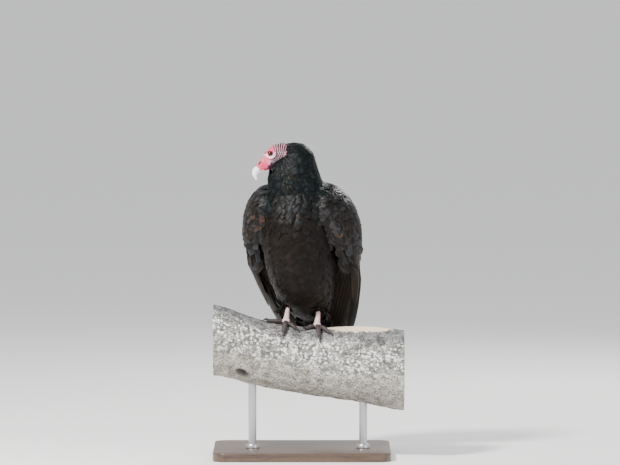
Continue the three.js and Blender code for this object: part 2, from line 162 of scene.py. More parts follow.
class VULTURE_PG_hard(bpy.types.PropertyGroup):
    horn: colour("Bill", "Ivory horn of the bill", (0.91, 0.87, 0.875))
    claw: colour("Claws", "Horn of the claws", (0.016, 0.014, 0.013))
    iris: colour("Iris", "Colour of the iris", (0.050, 0.010, 0.006))


class VULTURE_PG_stand(bpy.types.PropertyGroup):
    bark: colour("Bark", "Weathered bark", (0.25, 0.240, 0.225))
    lichen: colour("Lichen", "Pale lichen spots", (0.86, 0.87, 0.845))
    bare: colour("Bare wood", "Peeled wood on the limb's top", (0.80, 0.66, 0.46))
    base: colour("Base", "Stained wood of the base", (0.060, 0.036, 0.024))
    steel: colour("Rods", "Brushed steel of the rods", (0.52, 0.52, 0.53))
    floor: colour("Floor", "Studio floor", (0.92, 0.92, 0.915))


GROUPS = (VULTURE_PG_skin, VULTURE_PG_plumage, VULTURE_PG_hard, VULTURE_PG_stand)


def group_name(group):
    return group.__name__.rsplit("_", 1)[1]


def settings(name):
    return getattr(bpy.context.scene, f"vulture_{name}")


# ---------------------------------------------------------------- shader expressions

def scaled(tone, share):
    """A colour made darker or lighter."""
    return tuple(min(1.0, share * c) for c in tone)


class Value:
    """A socket's value, which adds Math nodes when it is used in an expression."""

    def __init__(self, shader, socket):
        self.shader = shader
        self.socket = socket

    def math(self, operation, *values):
        return self.shader.node("ShaderNodeMath", {"operation": operation},
                                dict(enumerate(values)))

    def __add__(self, other):
        return self.math("ADD", self, other)

    def __sub__(self, other):
        return self.math("SUBTRACT", self, other)

    def __rsub__(self, other):
        return self.math("SUBTRACT", other, self)

    def __mul__(self, other):
        return self.math("MULTIPLY", self, other)

    def __pow__(self, other):
        return self.math("POWER", self, other)

    __radd__ = __add__
    __rmul__ = __mul__

    def abs(self):
        return self.math("ABSOLUTE", self)

    def step(self, low, high):
        """A smooth step from 0 at low to 1 at high."""
        return self.shader.node(
            "ShaderNodeMapRange", {"interpolation_type": "SMOOTHSTEP"},
            {0: self, 1: low, 2: high, 3: 0.0, 4: 1.0})


class Shader:
    """One procedural material, and the nodes that its look is made of."""

    def __init__(self, name):
        self.material = bpy.data.materials.new(name)
        self.material.use_nodes = True
        self.tree = self.material.node_tree
        self.tree.nodes.clear()

    def node(self, kind, options=None, inputs=None, output=0):
        """Adds a node with its settings, then the values or links of its sockets."""
        node = self.tree.nodes.new(kind)
        for key, value in (options or {}).items():
            setattr(node, key, value)
        for key, value in (inputs or {}).items():
            socket = node.inputs[key]
            if isinstance(value, Value):
                self.tree.links.new(value.socket, socket)
            elif socket.type == "RGBA" and len(value) == 3:
                socket.default_value = (*value, 1)
            else:
                socket.default_value = value
        return Value(self, node.outputs[output]) if len(node.outputs) else None

    def place(self):
        """Object coordinates."""
        return self.node("ShaderNodeTexCoord", output="Object")

    def mapped(self, vector, scale, rotation=(0, 0, 0)):
        return self.node("ShaderNodeMapping", None, {
            "Vector": vector, "Scale": scale, "Rotation": rotation})

    def uv(self, name):
        return self.node("ShaderNodeUVMap", {"uv_map": name})

    def split(self, vector):
        first = self.node("ShaderNodeSeparateXYZ", None, {0: vector})
        outputs = first.socket.node.outputs
        return [Value(self, outputs[i]) for i in range(3)]

    def join(self, x, y, z=0.0):
        return self.node("ShaderNodeCombineXYZ", None, {0: x, 1: y, 2: z})

    def attribute(self, name, output="Fac"):
        return self.node("ShaderNodeAttribute", {"attribute_name": name}, output=output)

    def noise(self, vector, scale, detail, rough=0.55, warp=0.0):
        return self.node("ShaderNodeTexNoise", None, {
            "Vector": vector, "Scale": scale, "Detail": detail, "Roughness": rough,
            "Distortion": warp})

    def cells(self, vector, scale, feature="F1"):
        return self.node("ShaderNodeTexVoronoi", {"feature": feature}, {
            "Vector": vector, "Scale": scale})

    def mix(self, factor, first, second, blend="MIX"):
        return self.node("ShaderNodeMix", {"data_type": "RGBA", "blend_type": blend},
                         {0: factor, 6: first, 7: second}, output=2)

    def bump(self, height, strength, distance):
        return self.node("ShaderNodeBump", None, {
            "Height": height, "Strength": strength, "Distance": distance})

    def finish(self, **sockets):
        """Ends the material in one Principled shader. Underscores stand for spaces."""
        inputs = {key.replace("_", " "): value for key, value in sockets.items()}
        surface = self.node("ShaderNodeBsdfPrincipled", None, inputs)
        self.node("ShaderNodeOutputMaterial", None, {"Surface": surface})
        return self.material


# ---------------------------------------------------------------- mesh helpers

def positions(mesh):
    flat = np.empty(len(mesh.vertices) * 3)
    mesh.vertices.foreach_get("co", flat)
    return flat.reshape(-1, 3)


def normals(mesh):
    flat = np.empty(len(mesh.vertices) * 3)
    mesh.vertex_normals.foreach_get("vector", flat)
    return flat.reshape(-1, 3)


def move(mesh, points):
    mesh.vertices.foreach_set("co", np.ascontiguousarray(points, float).ravel())
    mesh.update()


def edges_of(mesh):
    flat = np.empty(len(mesh.edges) * 2, int)
    mesh.edges.foreach_get("vertices", flat)
    return flat.reshape(-1, 2)


def into(matrix, points):
    """Points of the row's frame in another frame, in mm."""
    back = np.array(matrix.inverted())
    return (points @ back[:3, :3].T + back[:3, 3]) / MM


def out_of(matrix, points):
    """Points of another frame, in mm, in the row's frame."""
    forth = np.array(matrix)
    return (points * MM) @ forth[:3, :3].T + forth[:3, 3]


def soft(value, low, high):
    """A smooth step from 0 at low to 1 at high, on arrays."""
    t = np.clip((value - low) / (high - low), 0, 1)
    return t * t * (3 - 2 * t)


def hump(value, middle, reach, power=2):
    """1 in the middle, falling towards 0 past the reach, on arrays."""
    return np.exp(-(((value - middle) / reach) ** power))


def unit(vectors):
    return vectors / np.maximum(np.linalg.norm(vectors, axis=-1, keepdims=True), 1e-12)


def from_face(local):
    """How far places of the bird's frame lie from the face's middle, in mm."""
    return np.linalg.norm(local - FACE, axis=1)


def smoothed(mesh, rounds):
    """Smooths a closed mesh and keeps its volume: each round shrinks it, then swells it."""
    shrink, swell = 0.5, -0.53
    points, edges = positions(mesh), edges_of(mesh)
    count = np.bincount(edges.ravel(), minlength=len(points)).astype(float)[:, None]
    a, b = edges[:, 0], edges[:, 1]
    for _ in range(rounds):
        for step in (shrink, swell):
            total = np.stack([
                np.bincount(a, points[b, k], len(points))
                + np.bincount(b, points[a, k], len(points)) for k in range(3)], 1)
            points = points + step * (total / count - points)
    move(mesh, points)
    return mesh


def mesh_from(bm, name):
    mesh = bpy.data.meshes.new(name)
    bm.to_mesh(mesh)
    bm.free()
    return mesh


def copied(names):
    """The named CAD nodes as one bmesh, with each node's corners merged."""
    whole = bmesh.new()
    for name in names:
        part = bmesh.new()
        part.from_mesh(NODES[name].data)
        bmesh.ops.remove_doubles(part, verts=part.verts, dist=1e-6)
        held = mesh_from(part, "held")
        whole.from_mesh(held)
        bpy.data.meshes.remove(held)
    return whole


def joined(meshes, name):
    whole = bmesh.new()
    for mesh in meshes:
        whole.from_mesh(mesh)
        bpy.data.meshes.remove(mesh)
    return mesh_from(whole, name)


def modified(mesh, kind, **options):
    """The mesh after one modifier."""
    holder = bpy.data.objects.new("holder", mesh)
    bpy.context.scene.collection.objects.link(holder)
    modifier = holder.modifiers.new("step", kind)
    for key, value in options.items():
        setattr(modifier, key, value)
    evaluated = holder.evaluated_get(bpy.context.evaluated_depsgraph_get())
    result = bpy.data.meshes.new_from_object(evaluated)
    bpy.data.objects.remove(holder)
    bpy.data.meshes.remove(mesh)
    return result


def remeshed(mesh, voxel):
    return modified(mesh, "REMESH", mode="VOXEL", voxel_size=voxel, adaptivity=0.0)


def fused(first, second):
    """The union of two closed meshes."""
    tool = bpy.data.objects.new("tool", second)
    bpy.context.scene.collection.objects.link(tool)
    result = modified(first, "BOOLEAN", operation="UNION", object=tool, solver="MANIFOLD")
    bpy.data.objects.remove(tool)
    bpy.data.meshes.remove(second)
    return result


def shown(mesh, name, material, replaces=()):
    """A finished piece: its mesh in place, its material, and the nodes it stands for."""
    mesh.name = name
    mesh.polygons.foreach_set("use_smooth", np.full(len(mesh.polygons), True))
    mesh.materials.clear()
    mesh.materials.append(material)
    mesh.update()
    piece = bpy.data.objects.new(name, mesh)
    bpy.context.scene.collection.objects.link(piece)
    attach(piece, "root")
    if replaces:
        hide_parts(*replaces)
    return piece


def paint(mesh, name, values):
    """A number or a colour on each vertex."""
    values = np.asarray(values, float)
    if values.ndim == 1:
        layer = mesh.attributes.new(name, "FLOAT", "POINT")
        layer.data.foreach_set("value", values)
    else:
        layer = mesh.attributes.new(name, "FLOAT_COLOR", "POINT")
        full = np.concatenate([values, np.ones((len(values), 1))], 1)
        layer.data.foreach_set("color", full.ravel())


def wobble(points, scale, seed, octaves):
    """Smooth noise from -1 to 1 at points in mm, where scale is the size of a lump in mm."""
    shift = Vector((seed, seed * 0.7, -seed * 1.3))
    return np.array([noise.fractal(Vector(p) / scale + shift, 0.9, 2.1, octaves)
                     for p in points])


# ---------------------------------------------------------------- shapes that pieces share

SHARED = {}


def shared(make):
    """Makes a shape once, however many pieces ask for it."""
    def held(*keys):
        key = (make.__name__, *keys)
        if key not in SHARED:
            SHARED[key] = make(*keys)
        return SHARED[key]
    return held


def tree_of(mesh):
    faces = [tuple(face.vertices) for face in mesh.polygons]
    return BVHTree.FromPolygons([Vector(p) for p in positions(mesh)], faces)


@shared
def coat_form():
    """The outer shape of the feathered body, from which the feathers take their places."""
    names = BODY_NODES + ("head",)
    return smoothed(remeshed(mesh_from(copied(names), "coat_form"), 0.0036), 14)


@shared
def coat_tree():
    return tree_of(coat_form())


@shared
def owners():
    """A search tree over the body's CAD nodes, and the node that each face belongs to."""
    points, faces, names = [], [], []
    for name in BODY_NODES + ("head",):
        data = NODES[name].data
        start = len(points)
        points.extend(v.co.copy() for v in data.vertices)
        faces.extend(tuple(start + i for i in face.vertices) for face in data.polygons)
        names.extend([name] * len(data.polygons))
    return BVHTree.FromPolygons(points, faces), names


def catmull(values, t):
    """Values between stations that are equally spaced from 0 to 1, on a smooth curve."""
    values = np.asarray(values, float)
    last = len(values) - 1
    place = np.clip(np.asarray(t, float), 0, 1) * last
    i = np.minimum(place.astype(int), last - 1)
    s = place - i
    if values.ndim > 1:
        s = s[..., None]
    a, b, c, d = (values[np.clip(i + k, 0, last)] for k in (-1, 0, 1, 2))
    return 0.5 * (2 * b + (c - a) * s + (2 * a - 5 * b + 4 * c - d) * s ** 2
                  + (3 * b - a - 3 * c + d) * s ** 3)


AXIS_STEPS = np.array(AXIS_LINE, float)


def axis_at(t):
    """The body's middle line in the bird's frame, in mm, and its direction."""
    here = catmull(AXIS_STEPS, t)
    ahead = catmull(AXIS_STEPS, np.asarray(t) + 0.01) - catmull(AXIS_STEPS, np.asarray(t) - 0.01)
    zero = np.zeros_like(here[..., :1])
    return np.concatenate([zero, here], -1), unit(np.concatenate([zero, ahead], -1))


def edge_y(z):
    """Where the folded wing's front edge lies, in the bird's frame."""
    line = np.array(WING_EDGE[::-1], float)
    return np.interp(z, line[:, 1], line[:, 0])


class WingField:
    """The folded wing's outer face as a sheet: t runs from shoulder to tips, f from the middle
    of the back (0) to the wing's front edge (1)."""

    ROWS, COLUMNS = 72, 48
    # How long the sheet is from t = 0 to 1, and how far out the rays that find it start, in mm
    LENGTH, FAR = 540.0, 260.0
    # The share of the way to the last hit that counts as the front edge
    INSIDE = 0.985

    def __init__(self):
        names = ["back"] + [f"wing_left_{part}" for part in ("coverts", "secondaries", "primaries")]
        mesh = smoothed(remeshed(mesh_from(copied(names), "wing_form"), 0.003), 10)
        move(mesh, into(BIRD, positions(mesh)))
        tree = tree_of(mesh)
        bpy.data.meshes.remove(mesh)
        rows = []
        for t in np.linspace(0, 1, self.ROWS):
            middle, along = axis_at(t)
            out = np.cross((1, 0, 0), along)

            def cast(angle, middle=middle, out=out):
                ray = Vector(out * math.cos(angle) + np.array((1, 0, 0)) * math.sin(angle))
                return tree.ray_cast(Vector(middle) + ray * self.FAR, -ray, self.FAR - 2)[0]

            hits = [angle for angle in np.radians(np.arange(4, 176, 2.0)) if cast(angle)]
            rows.append((max(hits, default=np.nan), cast))
        edges = np.array([edge for edge, _ in rows])
        known = ~np.isnan(edges)
        steps = np.arange(self.ROWS)
        edges = np.interp(steps, steps[known], edges[known])
        edges = np.convolve(np.pad(edges, 2, "edge"), np.ones(5) / 5, "valid")
        table = np.full((self.ROWS, self.COLUMNS, 3), np.nan)
        for i, (_, cast) in enumerate(rows):
            for j, f in enumerate(np.linspace(0, 1, self.COLUMNS)):
                hit = cast(max(0.01, edges[i] * f * self.INSIDE))
                if hit:
                    table[i, j] = hit
        self.table = self.mended(table)

    def mended(self, table):
        """Fills places that no ray met, from the rows above or below, and evens the sheet out."""
        for j in range(self.COLUMNS):
            for i in range(1, self.ROWS):
                if np.isnan(table[i, j, 0]):
                    step = table[i - 1, j] - table[i - 2, j] if i > 1 else 0
                    table[i, j] = table[i - 1, j] + step
        for j in range(self.COLUMNS):
            for i in range(self.ROWS - 2, -1, -1):
                if np.isnan(table[i, j, 0]):
                    table[i, j] = table[i + 1, j]
        for _ in range(3):
            inner = table[1:-1, 1:-1]
            around = (table[:-2, 1:-1] + table[2:, 1:-1] + table[1:-1, :-2] + table[1:-1, 2:]) / 4
            table[1:-1, 1:-1] = inner + 0.5 * (around - inner)
        return table

    def at(self, t, f):
        """Points of the left wing's outer face, in the bird's frame and mm."""
        i = np.clip(np.asarray(t, float), 0, 1) * (self.ROWS - 1)
        j = np.clip(np.asarray(f, float), 0, 1) * (self.COLUMNS - 1)
        i0 = np.minimum(i.astype(int), self.ROWS - 2)
        j0 = np.minimum(j.astype(int), self.COLUMNS - 2)
        a, b = (i - i0)[..., None], (j - j0)[..., None]
        table = self.table
        point = (table[i0, j0] * (1 - a) * (1 - b) + table[i0 + 1, j0] * a * (1 - b)
                 + table[i0, j0 + 1] * (1 - a) * b + table[i0 + 1, j0 + 1] * a * b)
        over = (np.asarray(t, float) - 1).clip(0)[..., None] * (table[-1, 0] - table[-9, 0]) * 8
        return point + over

    def out(self, t, f):
        """The outward direction on the left wing."""
        down = self.at(np.minimum(t + 0.02, 1), f) - self.at(np.minimum(t + 0.02, 1) - 0.04, f)
        across = self.at(t, np.minimum(f + 0.04, 1)) - self.at(t, np.minimum(f + 0.04, 1) - 0.08)
        return unit(np.cross(across, down))


@shared
def wing_field():
    return WingField()


# ---------------------------------------------------------------- feathers

def row_shares(rows):
    """Where a vane's rows lie from root to tip, a little closer together towards the tip."""
    return np.linspace(0, 1, rows) ** 0.92


class Vane:
    """The outline of one kind of feather: how wide it is from root to tip, how round its tip is,
    how it cups, how thick it is, and how far its tip is split into locks of barbs."""

    def __init__(self, widths, columns=5, tip=0.09, cup=0.12, thick=0.16, ragged=0.06,
                 split=0.0):
        self.widths = np.array(widths, float)
        self.rows = len(widths)
        self.u = row_shares(self.rows)
        self.v = np.linspace(-1, 1, columns)
        self.tip, self.cup, self.thick, self.ragged, self.split = tip, cup, thick, ragged, split
        k, m = self.rows, columns
        top = np.arange(k * m).reshape(k, m)
        under = top.copy()
        inner = (k - 2) * (m - 2)
        under[1:-1, 1:-1] = k * m + np.arange(inner).reshape(k - 2, m - 2)
        self.size = k * m + inner
        faces = []
        for grid, order in ((top, (0, 1, 2, 3)), (under, (3, 2, 1, 0))):
            quads = np.stack([grid[:-1, :-1], grid[:-1, 1:], grid[1:, 1:], grid[1:, :-1]], -1)
            faces.append(quads.reshape(-1, 4)[:, list(order)])
        self.faces = np.concatenate(faces)
        self.row = np.concatenate([np.repeat(np.arange(k), m),
                                   np.repeat(np.arange(1, k - 1), m - 2)])
        self.column = np.concatenate([np.tile(np.arange(m), k),
                                      np.tile(np.arange(1, m - 1), k - 2)])
        self.face_sign = np.concatenate([np.ones(k * m), -np.ones(inner)])
        border = (self.row == 0) | (self.row == k - 1) | (self.column == 0)
        border |= self.column == m - 1
        self.border = border
        self.rim = np.zeros((self.size, self.size), bool)
        for line in (top[0], top[-1], top[:, 0], top[:, -1]):
            self.rim[line[:-1], line[1:]] = True
            self.rim[line[1:], line[:-1]] = True


class Coat:
    """Feathers gathered for one piece. Everything is in metres in the row's frame."""

    def __init__(self, seed):
        self.random = np.random.default_rng(seed)
        self.points, self.faces, self.uvs, self.bakes, self.tints = [], [], [], [], []
        self.wears, self.blends, self.unders, self.rims = [], [], [], []
        self.count = 0

    def add(self, vane, centre, up, width, tint, wear, place, patch=0.003, blend=0.0):
        """centre: feathers × rows × 3 along each shaft; up: the same, outwards; width in metres.
        place: where each root lies on the skin's unwrap, and patch: how much of it a vane takes."""
        n = len(centre)
        if not n:
            return
        along = np.empty_like(centre)
        along[:, 1:-1] = centre[:, 2:] - centre[:, :-2]
        along[:, 0] = centre[:, 1] - centre[:, 0]
        along[:, -1] = centre[:, -1] - centre[:, -2]
        length = np.linalg.norm(np.diff(centre, axis=1), axis=2).sum(1)
        along = unit(along)
        side = unit(np.cross(up, along))
        up = np.cross(along, side)
        r, c = vane.row, vane.column
        v = np.tile(vane.v[c], (n, 1))
        jitter = self.random.uniform(-1, 1, (n, vane.size))
        shape = vane.widths[r] * (1 + vane.ragged * jitter * vane.border)
        teeth = 0.55 * self.random.random((n, len(vane.v))) + 0.45 * (np.arange(len(vane.v)) % 2)
        rounded = vane.tip * vane.v[c] ** 2 * vane.u[r] ** 3
        run = -rounded - vane.split * teeth[:, c] * vane.u[r] ** 5
        half = 0.5 * width[:, None] * shape
        thick = vane.thick * MM * 0.5 * vane.face_sign * ~vane.border
        thick = thick * (1 - 0.4 * np.abs(v))
        lift = -vane.cup * half * v ** 2 + thick
        points = (centre[:, r] + along[:, r] * (run * length[:, None])[..., None]
                  + side[:, r] * (half * v)[..., None] + up[:, r] * lift[..., None])
        self.faces.append((vane.faces[None] + self.count
                           + np.arange(n)[:, None, None] * vane.size).reshape(-1, 4))
        self.points.append(points.reshape(-1, 3))
        uv = np.stack([0.5 + 0.5 * v * vane.widths[r], np.tile(vane.u[r], (n, 1))], -1)
        self.uvs.append(uv.reshape(-1, 2))
        self.bakes.append((np.asarray(place)[:, None] + patch * (uv - 0.5)).reshape(-1, 2))
        self.tints.append(np.repeat(tint, vane.size))
        self.wears.append(np.repeat(wear, vane.size))
        self.blends.append(np.repeat(np.broadcast_to(blend, n), vane.size))
        self.unders.append(np.tile(vane.face_sign < 0, n))
        self.rims.append((self.count, n, vane))
        self.count += n * vane.size

    def mesh(self, name):
        points = np.concatenate(self.points)
        faces = np.concatenate(self.faces)
        mesh = bpy.data.meshes.new(name)
        mesh.vertices.add(len(points))
        mesh.vertices.foreach_set("co", points.ravel())
        mesh.loops.add(faces.size)
        mesh.loops.foreach_set("vertex_index", faces.ravel())
        mesh.polygons.add(len(faces))
        mesh.polygons.foreach_set("loop_start", np.arange(0, faces.size, 4))
        mesh.update(calc_edges=True)
        for layer_name, values in (("Vane", self.uvs), ("OFBake", self.bakes)):
            layer = mesh.uv_layers.new(name=layer_name)
            layer.data.foreach_set("uv", np.concatenate(values)[faces.ravel()].ravel())
        paint(mesh, "Tint", np.concatenate(self.tints))
        paint(mesh, "Wear", np.concatenate(self.wears))
        paint(mesh, "Blend", np.concatenate(self.blends))
        paint(mesh, "Beneath", np.concatenate(self.unders))
        edges = edges_of(mesh)
        sharp = np.zeros(len(edges), bool)
        for start, n, vane in self.rims:
            own = (edges[:, 0] >= start) & (edges[:, 0] < start + n * vane.size)
            local = (edges[own] - start) % vane.size
            sharp[own] = vane.rim[local[:, 0], local[:, 1]]
        layer = mesh.attributes.new("sharp_edge", "BOOLEAN", "EDGE")
        layer.data.foreach_set("value", sharp)
        return mesh


CONTOUR = Vane((0.30, 0.62, 0.86, 0.98, 1.0, 0.88, 0.56), columns=9, tip=0.10, ragged=0.07,
               split=0.09)
POINTED = Vane((0.34, 0.74, 0.98, 0.96, 0.74, 0.34), tip=0.05, ragged=0.10, split=0.16)
COVERT = Vane((0.42, 0.74, 0.92, 1.0, 1.0, 0.90, 0.52), columns=7, tip=0.09, thick=0.22,
              ragged=0.05, split=0.06)


# The most that a shaft bends towards the surface in one step, as a share of the step, and how
# alike two directions must be before a shaft holds to the surface a little, and wholly
GIVE = 0.35
FREE, HELD = 0.45, 0.80


def combed(roots, ways, lengths, rows, sink, rise, cling):
    """Shafts that start under the coat's surface and are combed along it, as points and outward
    directions. Where the surface turns away too fast a shaft goes on through the air, unless it
    clings."""
    tree = coat_tree()
    n = len(roots)
    centre, up = np.zeros((n, rows, 3)), np.zeros((n, rows, 3))
    share = row_shares(rows)
    for i in range(n):
        here, normal = tree.find_nearest(Vector(roots[i]))[:2]
        wish = Vector(ways[i])
        direction = (wish - normal * wish.dot(normal)).normalized()
        centre[i, 0], up[i, 0] = here, normal
        for k in range(1, rows):
            step = (share[k] - share[k - 1]) * lengths[i]
            ahead = here + direction * step
            hit, facing = tree.find_nearest(ahead)[:2]
            held = min(1.0, max(cling, (facing.dot(normal) - FREE) / (HELD - FREE)))
            pull = (hit - ahead) * held
            if pull.length > GIVE * step:
                pull *= GIVE * step / pull.length
            moved = (ahead + pull - here).normalized()
            normal = normal * (1 - 0.6 * held) + facing * (0.6 * held)
            normal = (normal - moved * normal.dot(moved)).normalized()
            blend = moved * 0.75 + (wish - normal * wish.dot(normal)).normalized() * 0.25
            direction = blend.normalized()
            here = ahead + pull
            centre[i, k], up[i, k] = here, normal
    # Roots lie deep and tips lie out, so each feather covers the next one's root
    height = -sink[:, None] * (1 - share) ** 1.3 + rise[:, None] * share ** 1.6
    return centre + up * height[..., None], up


def spread(mesh, keep, radius, tries, seed):
    """Evenly scattered places on a mesh: no two lie nearer than the radius there."""
    random = np.random.default_rng(seed)
    mesh.calc_loop_triangles()
    corners = np.empty(len(mesh.loop_triangles) * 3, int)
    mesh.loop_triangles.foreach_get("vertices", corners)
    corners = corners.reshape(-1, 3)
    points = positions(mesh)
    a, b, c = (points[corners[:, k]] for k in range(3))
    crossed = np.cross(b - a, c - a)
    area = np.linalg.norm(crossed, axis=1)
    pick = random.choice(len(corners), tries, p=area / area.sum())
    r1, r2 = np.sqrt(random.random(tries)), random.random(tries)
    places = (a[pick] * (1 - r1)[:, None] + b[pick] * (r1 * (1 - r2))[:, None]
              + c[pick] * (r1 * r2)[:, None])
    facing = unit(crossed[pick])
    wanted = keep(places, facing)
    places, facing = places[wanted], facing[wanted]
    gaps = radius(places)
    grid, chosen = {}, []
    steps = [(dx, dy, dz) for dx in (-1, 0, 1) for dy in (-1, 0, 1) for dz in (-1, 0, 1)]

    def crowded(p, gap, x, y, z):
        """Whether a chosen place lies within the gap. Only cells that touch this one matter."""
        for dx, dy, dz in steps:
            for q in grid.get((x + dx, y + dy, z + dz), ()):
                if (p[0] - q[0]) ** 2 + (p[1] - q[1]) ** 2 + (p[2] - q[2]) ** 2 < gap * gap:
                    return True
        return False

    cells = np.floor(places / float(gaps.max())).astype(int)
    for i, cell in enumerate(cells.tolist()):
        if not crowded(places[i], gaps[i], *cell):
            grid.setdefault(tuple(cell), []).append(places[i])
            chosen.append(i)
    return places[chosen], facing[chosen]


# The lowest height of the skin's unwrap in the bird's frame and how far up it reaches, in mm
UNWRAP_LOW, UNWRAP_HIGH = -180, 640


def unwrapped(points):
    """Where a place on the body lies on the skin's unwrap: its turn about the body's middle line
    and its height, each from 0 to 1 with a narrow margin."""
    local = into(BIRD, points)
    line = AXIS_STEPS[::-1]
    middle = np.interp(local[:, 2], line[:, 1], line[:, 0])
    around = np.arctan2(local[:, 0], middle - local[:, 1]) / (2 * math.pi) + 0.5
    up = (local[:, 2] - UNWRAP_LOW) / UNWRAP_HIGH
    return 0.02 + 0.96 * np.stack([around, up], 1)


def bare_face(head):
    """The head's bare skin: the face, the crown and the sides down to the line of the jaw."""
    x, y, z = head.T
    back, _ = folded_plane(head)
    skull = (np.abs(y) < 24) & (z < 24) & (x > -48)
    crown = (back < 37) & (z > -21.5)
    front = (x > 9) & (z > -38)
    return skull & (crown | front)


# How far apart the small feathers' roots lie, in metres, and how much closer beside the face
BODY_GAP, THIGH_GAP, NECK_GAP, FACE_CLOSER = 0.0078, 0.0055, 0.0036, 0.0010
# How many places are tried, and how much open air each needs before it, in metres
TRIES, CLEAR = 60000, 0.045
# Heights in the bird's frame: where the wings close over the back, and where the ruff is parted
# into an upper and a lower piece
WINGS_CLOSE, RUFF_SEAM = 150, 345


@shared
def body_places():
    """The roots of the small feathers over the whole body, and the node that each lies on."""
    tree, names = owners()
    form = coat_tree()

    def keep(places, facing):
        """Places off the bare face that no other part of the body closes over."""
        open_air = np.ones(len(places), bool)
        for i, (p, n) in enumerate(zip(places, facing)):
            start = Vector(p) + Vector(n) * 0.003
            open_air[i] = form.ray_cast(start, Vector(n), CLEAR)[0] is None
        return open_air & ~bare_face(into(HEAD, places))

    def radius(places):
        local = into(BIRD, places)
        high = soft(local[:, 2], 265, 345)
        thigh = (np.abs(np.abs(local[:, 0]) - 36) < 30) & (local[:, 2] < 70) & (local[:, 1] < 40)
        on_neck = NECK_GAP - FACE_CLOSER * (1 - soft(from_face(local), 40, 70))
        return np.where(thigh, THIGH_GAP, BODY_GAP * (1 - high) + on_neck * high)

    places, facing = spread(coat_form(), keep, radius, TRIES, 7)
    labels = np.array([names[tree.find_nearest(Vector(p))[2]] for p in places])
    labels[labels == "head"] = "neck"
    # No feather starts on an end that faces the way the coat lies, on a part of the trunk that
    # faces against it, on the strip of back that the wings close over, nor under the chin, where
    # it would hang free
    local = into(BIRD, places)
    lie = np.einsum("ij,ij->i", facing, headings(labels, places))
    cut = (np.char.startswith(labels, "wing") | (labels == "back")) & (lie > 0.42)
    steep = (labels == "trunk") & (lie < -0.75)
    covered = (labels == "back") & (local[:, 2] < WINGS_CLOSE)
    chin = (labels == "neck") & (facing[:, 2] < -0.22) & (from_face(local) < 64)
    wanted = ~(cut | steep | covered | chin)
    return places[wanted], facing[wanted], labels[wanted]


def headings(labels, places):
    """Which way each feather lies: down the body, back along the wings, away from the face."""
    local = into(BIRD, places)
    order = AXIS_STEPS[::-1]
    slope = np.gradient(AXIS_STEPS[:, 0], AXIS_STEPS[:, 1])[::-1]
    lean = np.interp(local[:, 2], order[:, 1], slope)
    level, fall = np.zeros(len(local)), -np.ones(len(local))
    way = unit(np.stack([level, -lean, fall], 1))
    trunk = labels == "trunk"
    way[trunk] = unit(np.stack([0.0016 * local[:, 0], -0.35 * lean, fall], 1))[trunk]
    thigh = np.char.startswith(labels, "thigh")
    way[thigh] = (0, -0.04, -1)
    neck = labels == "neck"
    away = unit(local - PARTING)
    calm = soft(local[:, 2], 300, 372)[:, None]
    behind = soft(local[:, 1], -70, -20)[:, None]
    way[neck] = unit(way * (1.25 - 0.6 * calm + 0.9 * behind)
                     + away * (0.2 + 0.8 * calm) * (1 - 0.75 * behind))[neck]
    turned = np.array(BIRD)[:3, :3]
    return way @ turned.T


# The first tone is painted shade towards each vane's root, where the feather above covers it; the
# second is the barbs' own darker streaks
ROOT_PAINTED_SHADE, BARB_SHADE = (0.003, 0.003, 0.003), (0.004, 0.004, 0.004)


def plumage(name, base, *, brown, gloss, shine, painted_glint, painted_glint_share=0.3, second=None, edge=0.001,
            worn=(0.2, 0.15, 0.11), barbs=46.0, rachis=1.0, silver=None):
    """Dark vanes with a shaft, slanting barbs, a tint of their own and bleached edges. The second
    colour takes over where the coat's Blend says so, and silver shows on the underside."""
    s = Shader(name)
    across, along, _ = s.split(s.uv("Vane"))
    off = (across - 0.5) * 2.0
    side = off.abs()
    tint, wear = s.attribute("Tint"), s.attribute("Wear")
    grain = s.noise(s.join(along * barbs - side * barbs * 0.35, side * 3.0, tint * 40.0), 1.0,
                    detail=2.0, rough=0.5)
    blotch = s.noise(s.place(), 70.0, detail=3.0)
    shaft = side.step(0.07, 0.03)
    rim = (side + along.step(0.55, 1.0) * 0.42).step(0.76, 1.02)
    tone = base if second is None else s.mix(s.attribute("Blend"), base, second)
    lighter = s.mix(1.0, tone, (2.5, 2.2, 2.0), "MULTIPLY")
    tone = s.mix(tint.step(0.25, 1.0) * (brown + 0.35 * blotch.step(0.3, 0.7)), tone, lighter)
    # Painted glints: a few feathers, picked by their tint, are lightened towards the glint colour as
    # if they caught the light, fewer where the second colour rules
    painted_glints = painted_glint_share * (tint * 7.0).math("FRACT", tint * 7.0).step(0.60, 1.0)
    if second is not None:
        painted_glints = painted_glints * (1 - 0.75 * s.attribute("Blend"))
    tone = s.mix(painted_glints, tone, painted_glint)
    # Painted shade towards the root, under the feather above
    tone = s.mix((1 - along.step(0.0, 0.55)) * 0.55, tone, ROOT_PAINTED_SHADE)
    fray = rim * wear * (0.45 + 0.55 * blotch.step(0.38, 0.62))
    tone = s.mix(fray * edge, tone, worn)
    tone = s.mix(grain.step(0.35, 0.75) * 0.35, tone, BARB_SHADE)
    if silver is not None:
        beneath = s.attribute("Beneath")
        pale = s.mix(grain.step(0.3, 0.7) * 0.5, silver, scaled(silver, 0.45))
        pale = s.mix(rim * 0.8, pale, scaled(silver, 0.30))
        pale = s.mix(shaft, pale, scaled(silver, 3.0))
        tone = s.mix(beneath, tone, pale)
    rough = gloss + 0.16 * grain + 0.10 * rim - 0.06 * shaft
    lift = grain * 0.5 + shaft * (1.2 * rachis) + blotch * 0.4
    return s.finish(Base_Color=tone, Roughness=rough, Specular_IOR_Level=shine,
                    Sheen_Weight=0.01, Sheen_Roughness=0.4, Sheen_Tint=(0.55, 0.68, 0.74),
                    Normal=s.bump(lift, 0.5, 0.0005))


